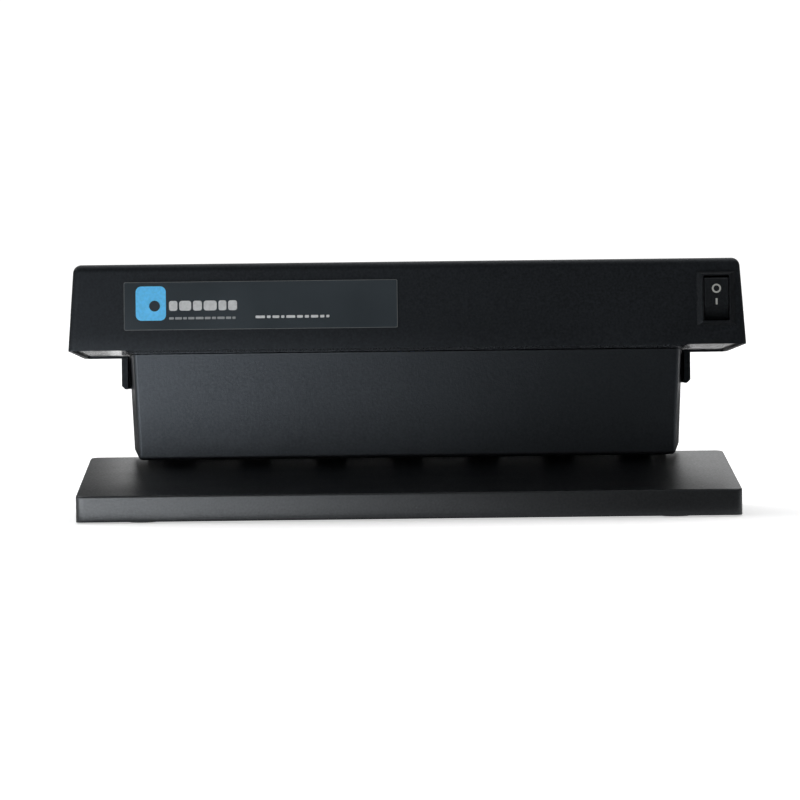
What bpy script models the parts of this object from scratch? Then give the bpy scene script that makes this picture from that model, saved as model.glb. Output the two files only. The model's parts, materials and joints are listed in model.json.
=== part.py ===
"""Counterfeit bill detector: a lamp head on a rear column above a sloped note bed.

Metres, +Z up, front towards -Y, origin at the centre of the footprint, on the table.
"""

import math

import bmesh
import bpy
from mathutils import Matrix, Vector

# Driving dimensions
DEPTH = 0.125  # head, front rim to back rim
HEAD_WIDTH = 0.2608  # at the front rim
HEAD_TOP = 0.0995
RIM_FRONT = 0.0665  # height of the front rim
UNDERSIDE_SLOPE = math.tan(math.radians(2.2))  # head underside, falls to the back
DRAFT = math.tan(math.radians(4.05))  # head walls lean inwards towards the top
HEAD_CORNER = 0.003
WALL = 0.0024
GAP = 0.0003  # running gap between pieces that touch

BASE_WIDTH = 0.2568
BASE_FRONT = -0.061
BASE_BACK = 0.057
BASE_BOTTOM = 0.0005
BED_FRONT = 0.0106  # height of the note bed at its front edge
BED_SLOPE = math.tan(math.radians(5.4))  # note bed, rises to the back
BASE_CORNER = 0.0035
BED_EDGE = 0.0008

COLUMN_BACK = 0.054
COLUMN_FACE_TOP = 0.025  # y of the column's front face at its top
COLUMN_FACE_FOOT = 0.027
COLUMN_TOP_WIDTH = 0.2185  # at the front face
COLUMN_FOOT_WIDTH = 0.2150
COLUMN_FLARE = 0.0028  # each side is this much further out at the back
COLUMN_EDGE = 0.0016
COLUMN_WALL = 0.0022
COVER_THICK = 0.0022
LUG_FRONT = 0.0455  # side lugs of the rear cover reach forward to here
LUG_FOOT = 0.0494
LUG_SIDES = (0.1105, 0.1124, 0.1149)  # x of the root, the inner face and the outer face
LUG_CHAMFER = 0.0014
CABLE_PASS = ((-0.0135, 0.034), (0.0135, 0.044))  # opening between the column and the head
COLUMN_MIDDLE = 0.040  # y of the neck screws and of the terminal block's wells
NECK_BOSS_FOOT = 0.050
BASE_BOSS_TOP = 0.034
BOSS_RADIUS = 0.0036
VENT_COUNT = 9  # slots in each of the rear cover's two groups
VENT_CENTRE = 0.034
VENT_PITCH = 0.0065
VENT_HALF = 0.0013
VENT_REACH = (0.036, 0.052)  # foot and top of the slots

PAD_COUNT = 7
PAD_PITCH = 0.0307
PAD_WIDTH = 0.0125
PAD_HEIGHT = 0.0019
PAD_REACH = (0.0455, 0.0515)  # front and back of the pads
PAD_SCREW_Y = 0.0485
RIB_REACH = (0.0500, 0.0535)  # front and back of the rib behind the pads
RIB_HALF = 0.105
RIB_HEIGHT = 0.0016

PAN_RECESS = 0.0008  # pan sits this far above the cover's rim
PAN_THICK = 0.002
PAN_INSET = 0.0030  # from the cover's outside to the pan's edge
CUP_DEPTH = 0.0022  # screw heads sit this deep in cups pressed up into the pan
CUP_RADIUS = 0.0046
CUP_BORE = 0.0032
LAMP_WINDOW = (-0.049, 0.008)  # front and back edge of the opening
LAMP_WINDOW_HALF = 0.110

TUBE_RADIUS = 0.008
TUBE_LENGTH = 0.212
CAP_LENGTH = 0.009
LAMP_Z = 0.080
LAMP_Y = {"front": -0.035, "rear": -0.007}
PIN_RADIUS = 0.0012
PIN_PITCH = 0.00475
PIN_LENGTH = 0.0068
CAP_PROUD = 0.0002  # the cap is this much thicker than the glass
HOLDER_THICK = 0.009
HOLDER_RADIUS = 0.0085
HOLDER_FOOT = 0.0735
HOLDER_LEG = (0.0026, 0.006)  # thickness, and half of the width
HOLDER_BORE = (0.0052, 0.0076)  # radius and depth
HOLDER_SLOT = (0.0017, 0.0060)  # half of the width, and depth
ROTOR_RADIUS = 0.0048
ROTOR_THICK = 0.003
ROTOR_SET_BACK = 0.0006
REFLECTOR_THICK = 0.0006
# Half of the reflector's section, outer lip to inner flat: y from the middle, and z
REFLECTOR_HALF = ((-0.0285, 0.0725), (-0.0255, 0.0865), (-0.0195, 0.0915), (-0.0085, 0.0915))
REFLECTOR_RIDGE = 0.0845  # height of the ridge between the lamps

SWITCH_X = 0.1189
SWITCH_Z = 0.084
BEZEL = (0.0150, 0.0208)  # width and height of the switch's frame
BEZEL_PROUD = 0.0018
BEZEL_LIP = 0.0006  # flat rim round the rocker's hole
ROCKER_HOLE = (0.0098, 0.0174)
SNAP_BODY = (0.0126, 0.019, 0.0142)  # width, height and depth behind the panel
SNAP_FLOOR = 0.0013
ROCKER_PIVOT = 0.001  # behind the panel's face
STUB_RADIUS = 0.0011
STUB_BORE = (0.0014, 0.008)  # radius, and half of the length
PLUNGER_TILT = math.radians(11)
PLUNGER_WELL = (0.0019, 0.0008, 0.0060)  # radius, start and end behind the pivot
PLUNGER_SEAT = 0.0032  # behind the pivot
SPRING_START = 0.0012
SPRING_WIRE = 0.00015
SPRING_RADIUS = 0.00135
SPRING_PITCH = 0.0007
SPRING_TURNS = 5
BLADE_TILT = math.radians(5.5)
BLADE_SIZE = (0.0036, 0.0005, 0.0130)
BLADE_Y = 0.0094
TERMINALS = {"line": (0.0, 0.00995), "load": (0.0055, 0.0105)}  # z and inner end of each
TERMINAL_HALF = (0.0024, 0.0004)  # half of its width and thickness
TERMINAL_TIP = 0.0215

LABEL_CENTRE = (-0.05615, 0.0834)
LABEL_SIZE = (0.1051, 0.0185)

FOOT_X = 0.103
FOOT_Y = (-0.050, 0.045)
FOOT_RADIUS = 0.006
PLATE_BOTTOM = 0.0026  # underside of the steel bottom plate
PLATE_THICK = 0.0015
PLATE_SCREW_X = 0.117
PAN_SCREWS = ((-0.096, -0.0548), (0.096, -0.0548), (-0.119, 0.052), (0.119, 0.052))
COVER_SCREWS = ((-0.103, 0.0545), (0.103, 0.0545), (0.0, 0.029))
NECK_SCREWS = (-0.080, 0.080)
SCREW_RADIUS = 0.0015
BORE_RADIUS = 0.0018
HEAD_RADIUS = 0.0028
HEAD_HEIGHT = 0.0016
LONG_SCREW = 0.0085
SHORT_SCREW = 0.0045

GLAND = (0.097, 0.043)  # x and z of the cord inlet in the rear cover
GLAND_HOLE = 0.0053
GLAND_LEDGE = 0.0012  # from the gland's origin back to the rear cover's outside

BALLAST_LOW_X = {"left": -0.084, "right": 0.038}
BALLAST_CORE = ((0.0, 0.0325, 0.0268), (0.046, 0.0505, 0.0458))  # corners, from its low x
BALLAST_COIL = ((0.010, 0.0311, 0.0260), (0.036, 0.0519, 0.0466))
STARTER_AXIS = (0.0415, 0.0400)  # y and z
STARTER_REACH = (0.0045, 0.0310)  # inner and outer end
STARTER_RADIUS = 0.0078
SOCKET_THICK = 0.0043
SOCKET_SECTION = ((0.0335, 0.0300), (0.0495, 0.0480))  # y and z of two corners
TERMINAL_BLOCK = ((0.014, 0.0350, 0.0500), (0.038, 0.0450, 0.0570))
BLOCK_WELLS = (0.018, 0.026, 0.034)  # x of each wire well
BLOCK_WELL = (0.0016, 0.0535)  # radius, and height of its floor
WIRE_RADIUS = 0.0009
WIRE_STEPS = 4  # points on each stretch of a wire's route
INLET_ROUTE = (
    (0.0970, 0.0500, 0.0430),
    (0.0900, 0.0490, 0.0500),
    (0.0660, 0.0460, 0.0535),
    (0.0386, 0.0400, 0.0535),
)
SWITCH_ROUTE = (
    (0.0180, 0.0400, 0.0580),
    (0.0128, 0.0397, 0.0589),
    (0.0085, 0.0415, 0.0640),
    (0.0095, 0.0425, 0.0720),
    (0.0300, 0.0400, 0.0790),
    (0.0750, 0.0320, 0.0810),
    (0.1080, 0.0200, 0.0810),
    (0.1200, 0.0060, 0.0805),
    (0.1225, -0.0120, 0.0800),
    (0.1215, -0.0270, 0.0815),
    (0.1192, -0.0350, 0.0823),
    (0.1189, -0.0390, 0.0825),
)
# From the starters to the lampholders of the right side; the left side mirrors it
LAMP_ROUTE = (
    (0.0025, 0.0375, 0.0560),
    (0.0027, 0.0372, 0.0640),
    (0.0050, 0.0360, 0.0690),
    (0.0130, 0.0340, 0.0715),
    (0.0400, 0.0290, 0.0725),
    (0.0950, 0.0190, 0.0730),
    (0.1095, 0.0120, 0.0745),
    (0.1125, 0.0050, 0.0780),
    (0.1125, 0.0021, 0.0790),
)

BODY_STEPS = 24


def bed_height(y):
    return BED_FRONT + (y - BASE_FRONT) * BED_SLOPE


def rim_height(y):
    return RIM_FRONT - (y + DEPTH / 2) * UNDERSIDE_SLOPE


def face_y(z):
    """Front face of the head at height z."""
    return -DEPTH / 2 + (z - RIM_FRONT) * DRAFT


def clear_scene():
    for obj in list(bpy.data.objects):
        bpy.data.objects.remove(obj, do_unlink=True)


def new_collection(name):
    made = bpy.data.collections.new(name)
    bpy.context.scene.collection.children.link(made)
    return made


def paint(name, colour, roughness, metallic=0.0):
    made = bpy.data.materials.new(name)
    made.use_nodes = True
    shader = made.node_tree.nodes["Principled BSDF"]
    shader.inputs["Base Color"].default_value = (*colour, 1.0)
    shader.inputs["Roughness"].default_value = roughness
    shader.inputs["Metallic"].default_value = metallic
    made.diffuse_color = (*colour, 1.0)
    return made


clear_scene()
PARTS = new_collection("bill_detector")
CUTTERS = new_collection("cutters")
CASE = paint("case_plastic", (0.022, 0.022, 0.024), 0.42)
BED = paint("bed_plastic", (0.020, 0.020, 0.022), 0.28)
SWITCH = paint("switch_plastic", (0.018, 0.018, 0.019), 0.35)
LABEL = paint("label_film", (0.040, 0.055, 0.065), 0.35)
RUBBER = paint("foot_rubber", (0.015, 0.015, 0.015), 0.85)
STEEL = paint("zinc_steel", (0.62, 0.62, 0.60), 0.35, 1.0)
TIN = paint("reflector_aluminium", (0.85, 0.86, 0.88), 0.15, 1.0)
BRASS = paint("contact_brass", (0.75, 0.55, 0.25), 0.3, 1.0)
UV_GLASS = paint("uv_filter_glass", (0.015, 0.008, 0.040), 0.08)
HOLDER = paint("white_thermoplastic", (0.80, 0.80, 0.77), 0.45)
CORE = paint("core_lamination", (0.30, 0.31, 0.33), 0.5, 0.8)
CANISTER = paint("starter_canister", (0.85, 0.85, 0.82), 0.4)
WIRE = paint("wire_pvc", (0.05, 0.10, 0.35), 0.5)


def place(mesh, name, material, collection=PARTS):
    obj = bpy.data.objects.new(name, mesh)
    collection.objects.link(obj)
    if material:
        mesh.materials.clear()
        mesh.materials.append(material)
    if collection is CUTTERS:
        obj.hide_render = True
        obj.display_type = "WIRE"
    return obj


def cutter(mesh, name):
    return place(mesh, name, None, CUTTERS)


def boolean(target, other, operation="DIFFERENCE"):
    step = target.modifiers.new(other.name, "BOOLEAN")
    step.operation = operation
    step.solver = "EXACT"
    step.object = other


def mesh_of(bm, name):
    mesh = bpy.data.meshes.new(name)
    bmesh.ops.recalc_face_normals(bm, faces=bm.faces)
    bm.to_mesh(mesh)
    bm.free()
    return mesh


def add_block(bm, low, high):
    size = [b - a for a, b in zip(low, high)]
    centre = [(a + b) / 2 for a, b in zip(low, high)]
    move = Matrix.Translation(centre) @ Matrix.Diagonal((*size, 1.0))
    return bmesh.ops.create_cube(bm, size=1.0, matrix=move)["verts"]


def add_rod(bm, start, end, radius, steps=12, end_radius=None):
    """Solid cylinder or cone from start to end."""
    start = Vector(start)
    span = Vector(end) - start
    turn = span.to_track_quat("Z", "Y").to_matrix().to_4x4()
    move = Matrix.Translation(start + span / 2) @ turn
    bmesh.ops.create_cone(
        bm,
        cap_ends=True,
        segments=steps,
        radius1=radius,
        radius2=radius if end_radius is None else end_radius,
        depth=span.length,
        matrix=move,
    )


def block_mesh(name, low, high):
    bm = bmesh.new()
    add_block(bm, low, high)
    return mesh_of(bm, name)


def rod_mesh(name, start, end, radius, steps=12, end_radius=None):
    bm = bmesh.new()
    add_rod(bm, start, end, radius, steps, end_radius)
    return mesh_of(bm, name)


def shaped_block(corner, rounded, radius, segments):
    """A cube whose eight corners go where corner(sx, sy, sz) says, with some edges rounded."""
    bm = bmesh.new()
    bmesh.ops.create_cube(bm, size=2.0)
    signs = {v: tuple(round(c) for c in v.co) for v in bm.verts}
    edges = [e for e in bm.edges if rounded(signs[e.verts[0]], signs[e.verts[1]])]
    for vert, sign in signs.items():
        vert.co = corner(*sign)
    if edges:
        bmesh.ops.bevel(
            bm, geom=edges, offset=radius, segments=segments, profile=0.5, affect="EDGES"
        )
    return bm


def remove_face(bm, direction):
    """Opens the shell on the side that faces most towards direction."""
    direction = Vector(direction)
    bm.normal_update()
    face = max(bm.faces, key=lambda f: f.normal.dot(direction) * f.calc_area())
    bmesh.ops.delete(bm, geom=[face], context="FACES_ONLY")


def thicken(obj, thickness):
    shell = obj.modifiers.new("wall", "SOLIDIFY")
    shell.thickness = thickness
    shell.offset = -1.0
    shell.use_even_offset = True


def outline_mesh(name, points, low, high, axis):
    """A flat outline, filled and extruded from low to high along axis X, Y or Z."""
    curve = bpy.data.curves.new(name, "CURVE")
    curve.dimensions = "2D"
    curve.fill_mode = "BOTH"
    curve.extrude = (high - low) / 2
    spline = curve.splines.new("POLY")
    spline.points.add(len(points) - 1)
    for point, (a, b) in zip(spline.points, points):
        point.co = (a, b, 0.0, 1.0)
    spline.use_cyclic_u = True
    guide = bpy.data.objects.new(name, curve)
    bpy.context.scene.collection.objects.link(guide)
    frames = {
        "X": Matrix(((0, 0, 1, 0), (1, 0, 0, 0), (0, 1, 0, 0), (0, 0, 0, 1))),
        "Y": Matrix(((1, 0, 0, 0), (0, 0, -1, 0), (0, 1, 0, 0), (0, 0, 0, 1))),
        "Z": Matrix.Identity(4),
    }
    middle = (low + high) / 2
    shift = {"X": (middle, 0, 0), "Y": (0, middle, 0), "Z": (0, 0, middle)}[axis]
    bpy.context.view_layer.update()
    graph = bpy.context.evaluated_depsgraph_get()
    mesh = bpy.data.meshes.new_from_object(guide.evaluated_get(graph))
    mesh.transform(Matrix.Translation(shift) @ frames[axis])
    bpy.data.objects.remove(guide, do_unlink=True)
    bm = bmesh.new()
    bm.from_mesh(mesh)
    bmesh.ops.remove_doubles(bm, verts=bm.verts, dist=1e-6)
    bmesh.ops.recalc_face_normals(bm, faces=bm.faces)
    bm.to_mesh(mesh)
    bm.free()
    return mesh


def turned_mesh(name, profile, steps):
    """A profile of (radius, height) turned about Z; it runs down its outer side."""
    mesh = bpy.data.meshes.new(name)
    closed = profile[0] == profile[-1]
    points = profile[:-1] if closed else profile
    links = [(i, i + 1) for i in range(len(points) - 1)]
    if closed:
        links.append((len(points) - 1, 0))
    mesh.from_pydata([(r, 0.0, z) for r, z in points], links, [])
    guide = bpy.data.objects.new(name, mesh)
    bpy.context.scene.collection.objects.link(guide)
    turn = guide.modifiers.new("turn", "SCREW")
    turn.axis = "Z"
    turn.steps = steps
    turn.render_steps = steps
    turn.use_merge_vertices = True
    turn.merge_threshold = 1e-6
    bpy.context.view_layer.update()
    graph = bpy.context.evaluated_depsgraph_get()
    made = bpy.data.meshes.new_from_object(guide.evaluated_get(graph))
    bpy.data.objects.remove(guide, do_unlink=True)
    made.name = name
    return made


def smooth(obj, angle=30.0):
    obj.data.shade_smooth()
    obj.data.set_sharp_from_angle(angle=math.radians(angle))


# Head


def head_corner(sx, sy, sz):
    back_rim = rim_height(DEPTH / 2)
    if sz > 0:
        z = HEAD_TOP
    else:
        z = RIM_FRONT if sy < 0 else back_rim
    half = HEAD_WIDTH / 2 - (z - RIM_FRONT) * DRAFT
    y = face_y(z) if sy < 0 else DEPTH / 2 - (z - back_rim) * DRAFT
    return (sx * half, y, z)


def not_bottom(a, b):
    return a[2] > 0 or b[2] > 0


def make_switch_frame():
    """Empty on the head's front face, with its -Y along the face's outward normal."""
    frame = bpy.data.objects.new("switch_frame", None)
    frame.location = (SWITCH_X, face_y(SWITCH_Z), SWITCH_Z)
    frame.rotation_euler.x = -math.atan(DRAFT)
    PARTS.objects.link(frame)
    return frame


def make_head_cover(frame):
    bm = shaped_block(head_corner, not_bottom, HEAD_CORNER, 3)
    remove_face(bm, (0, 0, -1))
    cover = place(mesh_of(bm, "head_cover"), "head_cover", CASE)
    thicken(cover, WALL)

    bm = bmesh.new()
    for x, y in PAN_SCREWS:
        foot = rim_height(y) + PAN_RECESS + PAN_THICK + CUP_DEPTH + GAP + 0.0002
        add_rod(bm, (x, y, foot), (x, y, HEAD_TOP - WALL / 2), BOSS_RADIUS)
    boolean(cover, cutter(mesh_of(bm, "pan_bosses"), "pan_bosses"), "UNION")
    bm = bmesh.new()
    for x, y in PAN_SCREWS:
        add_rod(bm, (x, y, rim_height(y) - 0.002), (x, y, rim_height(y) + 0.016), BORE_RADIUS)
    boolean(cover, cutter(mesh_of(bm, "pan_bores"), "pan_bores"))
    width = SNAP_BODY[0] / 2 + GAP
    height = SNAP_BODY[1] / 2 + GAP
    hole = block_mesh("switch_cutout", (-width, -0.004, -height), (width, 0.006, height))
    hole = cutter(hole, "switch_cutout")
    hole.parent = frame
    boolean(cover, hole)
    smooth(cover)


def pan_corner(sx, sy, sz):
    y = sy * (DEPTH / 2 - PAN_INSET)
    z = rim_height(y) + PAN_RECESS + (PAN_THICK if sz > 0 else 0.0)
    return (sx * (HEAD_WIDTH / 2 - PAN_INSET), y, z)


def make_head_pan():
    bm = shaped_block(pan_corner, lambda a, b: False, 0, 0)
    pan = place(mesh_of(bm, "head_pan"), "head_pan", CASE)
    bm = bmesh.new()
    for x, y in PAN_SCREWS:
        foot = rim_height(y) + PAN_RECESS + PAN_THICK / 2
        add_rod(bm, (x, y, foot), (x, y, foot + PAN_THICK / 2 + CUP_DEPTH), CUP_RADIUS, 16)
    boolean(pan, cutter(mesh_of(bm, "pan_cups"), "pan_cups"), "UNION")
    low, high = rim_height(DEPTH / 2) - 0.005, RIM_FRONT + 0.01
    bm = bmesh.new()
    for x, y in PAN_SCREWS:
        add_rod(bm, (x, y, low), (x, y, rim_height(y) + PAN_RECESS + CUP_DEPTH), CUP_BORE, 16)
    boolean(pan, cutter(mesh_of(bm, "pan_cup_bores"), "pan_cup_bores"))
    bm = bmesh.new()
    front, back = LAMP_WINDOW
    add_block(bm, (-LAMP_WINDOW_HALF, front, low), (LAMP_WINDOW_HALF, back, high))
    add_block(bm, (*CABLE_PASS[0], low), (*CABLE_PASS[1], high))
    for x, y in PAN_SCREWS:
        add_rod(bm, (x, y, low), (x, y, high), BORE_RADIUS)
    for x in NECK_SCREWS:
        add_rod(bm, (x, COLUMN_MIDDLE, low), (x, COLUMN_MIDDLE, high), BORE_RADIUS)
    boolean(pan, cutter(mesh_of(bm, "pan_holes"), "pan_holes"))


def make_reflector():
    middle = (LAMP_Y["front"] + LAMP_Y["rear"]) / 2
    profile = [(middle + y, z) for y, z in REFLECTOR_HALF] + [(middle, REFLECTOR_RIDGE)]
    profile += [(middle - y, z) for y, z in reversed(REFLECTOR_HALF)]
    reach = TUBE_LENGTH / 2 - 0.002
    mesh = bpy.data.meshes.new("reflector")
    bm = bmesh.new()
    verts = [bm.verts.new((-reach, y, z)) for y, z in profile]
    edges = [bm.edges.new(pair) for pair in zip(verts, verts[1:])]
    wide = bmesh.ops.extrude_edge_only(bm, edges=edges)["geom"]
    moved = [item for item in wide if isinstance(item, bmesh.types.BMVert)]
    bmesh.ops.translate(bm, verts=moved, vec=(2 * reach, 0, 0))
    bmesh.ops.recalc_face_normals(bm, faces=bm.faces)
    bm.to_mesh(mesh)
    bm.free()
    sheet = place(mesh, "reflector", TIN)
    thicken(sheet, REFLECTOR_THICK)


# Lamps


def make_lamp(row):
    y = LAMP_Y[row]
    axis = bpy.data.objects.new(f"lamp_axis_{row}", None)
    axis.location = (0, y, LAMP_Z)
    PARTS.objects.link(axis)
    glass_half = TUBE_LENGTH / 2 - CAP_LENGTH - GAP
    ends = (-glass_half, 0, 0), (glass_half, 0, 0)
    mesh = rod_mesh(f"uv_tube_{row}", *ends, TUBE_RADIUS, BODY_STEPS)
    glass = place(mesh, f"uv_tube_{row}", UV_GLASS)
    glass.parent = axis
    smooth(glass)
    for side, sign in (("left", -1), ("right", 1)):
        end = sign * TUBE_LENGTH / 2
        cap = place(cap_mesh(end, sign), f"tube_cap_{row}_{side}", TIN)
        cap.parent = axis
        smooth(cap)
        rotor = make_rotor(row, side, sign)
        rotor.parent = axis
        make_lampholder(row, side, sign)


def cap_mesh(end, sign):
    """Metal end cap with its two contact pins."""
    inner = end - sign * CAP_LENGTH
    name = "tube_cap_body"
    mesh = rod_mesh(name, (inner, 0, 0), (end, 0, 0), TUBE_RADIUS + CAP_PROUD, BODY_STEPS)
    body = place(mesh, name, None)
    bm = bmesh.new()
    for offset in (-PIN_PITCH / 2, PIN_PITCH / 2):
        tip = end + sign * PIN_LENGTH
        add_rod(bm, (end - sign * 0.001, offset, 0), (tip, offset, 0), PIN_RADIUS, 8)
    pins = cutter(mesh_of(bm, "tube_pins"), "tube_pins")
    boolean(body, pins, "UNION")
    bpy.context.view_layer.update()
    graph = bpy.context.evaluated_depsgraph_get()
    mesh = bpy.data.meshes.new_from_object(body.evaluated_get(graph))
    bpy.data.objects.remove(body, do_unlink=True)
    bpy.data.objects.remove(pins, do_unlink=True)
    return mesh


def holder_face(sign):
    return sign * (TUBE_LENGTH / 2 + GAP * 2)


def make_rotor(row, side, sign):
    """Slotted disc that the pins turn inside the lampholder."""
    start = holder_face(sign) + sign * ROTOR_SET_BACK
    end = start + sign * ROTOR_THICK
    name = f"holder_rotor_{row}_{side}"
    mesh = rod_mesh(name, (start, 0, 0), (end, 0, 0), ROTOR_RADIUS, 16)
    rotor = place(mesh, name, HOLDER)
    half = PIN_RADIUS + GAP
    low, high = sorted((start - sign * 0.001, end + sign * 0.001))
    slot = block_mesh(name + "_slot", (low, -0.0040, -half), (high, 0.0060, half))
    slot = cutter(slot, name + "_slot")
    slot.location = (0, LAMP_Y[row], LAMP_Z)
    boolean(rotor, slot)
    return rotor


def make_lampholder(row, side, sign):
    y = LAMP_Y[row]
    face = holder_face(sign)
    back = face + sign * HOLDER_THICK
    name = f"lampholder_{row}_{side}"
    arc = [math.radians(180 * i / 10) for i in range(11)]
    radius = HOLDER_RADIUS
    outline = [(y + radius * math.cos(a), LAMP_Z + radius * math.sin(a)) for a in arc]
    outline += [(y - radius, HOLDER_FOOT), (y + radius, HOLDER_FOOT)]
    low, high = sorted((face, back))
    holder = place(outline_mesh(name, outline, low, high, "X"), name, HOLDER)
    thick, reach = HOLDER_LEG
    foot = rim_height(y - reach) + PAN_RECESS + PAN_THICK + GAP
    low, high = sorted((back - sign * thick, back))
    top = HOLDER_FOOT + 0.0025
    leg = block_mesh(name + "_leg", (low, y - reach, foot), (high, y + reach, top))
    boolean(holder, cutter(leg, name + "_leg"), "UNION")
    radius, depth = HOLDER_BORE
    start, end = (face - sign * 0.001, y, LAMP_Z), (face + sign * depth, y, LAMP_Z)
    bore = rod_mesh(name + "_bore", start, end, radius, 16)
    boolean(holder, cutter(bore, name + "_bore"))
    half, depth = HOLDER_SLOT
    low, high = sorted((face - sign * 0.001, face + sign * depth))
    below = HOLDER_FOOT - 0.0035
    slot = block_mesh(name + "_slot", (low, y - half, below), (high, y + half, LAMP_Z))
    boolean(holder, cutter(slot, name + "_slot"))


# Switch: x across, y behind the panel's face, z up, all from the switch frame


def make_switch_housing(frame):
    width, height = BEZEL
    bm = bmesh.new()
    low, high = (-width / 2, -BEZEL_PROUD, -height / 2), (width / 2, -GAP, height / 2)
    verts = add_block(bm, low, high)
    inner = [(hole + 2 * BEZEL_LIP) / side for hole, side in zip(ROCKER_HOLE, BEZEL)]
    for vert in verts:
        if vert.co.y < -BEZEL_PROUD / 2:
            vert.co.x *= inner[0]
            vert.co.z *= inner[1]
    housing = place(mesh_of(bm, "switch_housing"), "switch_housing", SWITCH)
    housing.parent = frame
    width, height, depth = (SNAP_BODY[0] / 2, SNAP_BODY[1] / 2, SNAP_BODY[2])
    body = block_mesh("snap_body", (-width, -0.001, -height), (width, depth, height))
    body = cutter(body, "snap_body")
    body.parent = frame
    boolean(housing, body, "UNION")
    bm = bmesh.new()
    half = [side / 2 for side in ROCKER_HOLE]
    add_block(bm, (-half[0], -0.004, -half[1]), (half[0], depth - SNAP_FLOOR, half[1]))
    well = cutter(mesh_of(bm, "rocker_well"), "rocker_well")
    well.parent = frame
    boolean(housing, well)
    bm = bmesh.new()
    radius, reach = STUB_BORE
    add_rod(bm, (-reach, ROCKER_PIVOT, 0), (reach, ROCKER_PIVOT, 0), radius)
    pivot = cutter(mesh_of(bm, "rocker_pivot_holes"), "rocker_pivot_holes")
    pivot.parent = frame
    boolean(housing, pivot)
    bm = bmesh.new()
    half = [side + GAP for side in TERMINAL_HALF]
    for z, _ in TERMINALS.values():
        low = (-half[0], depth - SNAP_FLOOR - 0.0017, z - half[1])
        add_block(bm, low, (half[0], depth + 0.003, z + half[1]))
    slots = cutter(mesh_of(bm, "terminal_slots"), "terminal_slots")
    slots.parent = frame
    boolean(housing, slots)


def make_rocker(frame):
    """Side profile (y, z) about the pivot, resting with its lower end pressed in."""
    profile = [
        (-0.0034, 0.0073),
        (-0.0029, -0.0031),
        (0.0012, -0.0080),
        (0.0026, -0.0072),
        (0.0042, -0.0030),
        (0.0042, 0.0046),
        (0.0010, 0.0081),
        (-0.0028, 0.0078),
    ]
    half = ROCKER_HOLE[0] / 2 - GAP
    mesh = outline_mesh("switch_rocker", profile, -half, half, "X")
    rocker = place(mesh, "switch_rocker", SWITCH)
    rocker.parent = frame
    rocker.location.y = ROCKER_PIVOT
    reach = SNAP_BODY[0] / 2 - 0.0002
    stub = rod_mesh("rocker_stubs", (-reach, 0, 0), (reach, 0, 0), STUB_RADIUS)
    stub = cutter(stub, "rocker_stubs")
    stub.parent = rocker
    boolean(rocker, stub, "UNION")
    radius, start, end = PLUNGER_WELL
    well = rod_mesh("plunger_well", (0, start, 0), (0, end, 0), radius)
    well = cutter(well, "plunger_well")
    well.parent = rocker
    well.rotation_euler.x = PLUNGER_TILT
    boolean(rocker, well)
    return rocker


def along_plunger(distance):
    """A point on the plunger's axis, from the pivot."""
    return (0, distance * math.cos(PLUNGER_TILT), distance * math.sin(PLUNGER_TILT))


def make_plunger(rocker):
    profile = [
        (0, 0),
        (0.0009, 0),
        (0.0009, -0.0022),
        (0.0015, -0.0022),
        (0.0015, -0.0036),
        (0.0006, -0.0048),
        (0, -0.0048),
    ]
    plunger = place(turned_mesh("switch_plunger", profile, 12), "switch_plunger", HOLDER)
    plunger.parent = rocker
    plunger.rotation_euler.x = PLUNGER_TILT + math.radians(90)
    plunger.location = along_plunger(PLUNGER_SEAT)
    make_spring(rocker, plunger.rotation_euler.x)


def make_spring(rocker, tilt):
    coil = bpy.data.curves.new("plunger_spring", "CURVE")
    coil.dimensions = "3D"
    coil.bevel_depth = SPRING_WIRE
    coil.bevel_resolution = 1
    coil.use_fill_caps = True
    spline = coil.splines.new("POLY")
    per_turn = 10
    spline.points.add(SPRING_TURNS * per_turn)
    for i, point in enumerate(spline.points):
        turn = i / per_turn
        x = SPRING_RADIUS * math.cos(2 * math.pi * turn)
        y = SPRING_RADIUS * math.sin(2 * math.pi * turn)
        point.co = (x, y, -SPRING_PITCH * turn, 1)
    spring = bpy.data.objects.new("plunger_spring", coil)
    coil.materials.append(STEEL)
    PARTS.objects.link(spring)
    spring.parent = rocker
    spring.rotation_euler.x = tilt
    spring.location = along_plunger(SPRING_START)


def make_contacts(frame):
    half = Vector(BLADE_SIZE) / 2
    blade = place(block_mesh("contact_blade", -half, half), "contact_blade", BRASS)
    blade.parent = frame
    blade.location.y = BLADE_Y
    blade.rotation_euler.x = -BLADE_TILT
    width, thick = TERMINAL_HALF
    for name, (z, start) in TERMINALS.items():
        low, high = (-width, start, z - thick), (width, TERMINAL_TIP, z + thick)
        mesh = block_mesh(f"switch_terminal_{name}", low, high)
        terminal = place(mesh, f"switch_terminal_{name}", BRASS)
        terminal.parent = frame


def make_label():
    x, z = LABEL_CENTRE
    width, height = (LABEL_SIZE[0] / 2, LABEL_SIZE[1] / 2)
    mesh = block_mesh("label_sticker", (-width, -0.0006, -height), (width, -GAP, height))
    label = place(mesh, "label_sticker", LABEL)
    label.location = (x, face_y(z), z)
    label.rotation_euler.x = -math.atan(DRAFT)


# Column


def column_foot(y):
    return bed_height(y) + PAD_HEIGHT + GAP


def column_head(y):
    return rim_height(y) + PAN_RECESS - GAP


def column_corner(sx, sy, sz):
    if sy > 0:
        y = COLUMN_BACK
    else:
        y = COLUMN_FACE_TOP if sz > 0 else COLUMN_FACE_FOOT
    width = COLUMN_TOP_WIDTH if sz > 0 else COLUMN_FOOT_WIDTH
    half = width / 2 + (COLUMN_FLARE if sy > 0 else 0)
    return (sx * half, y, column_head(y) if sz > 0 else column_foot(y))


def column_rounded(a, b):
    """The front's two upright edges and its foot, and the foot of both sides."""
    front_upright = a[1] < 0 and b[1] < 0 and a[2] != b[2]
    foot = a[2] < 0 and b[2] < 0 and not (a[1] > 0 and b[1] > 0)
    return front_upright or foot


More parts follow.
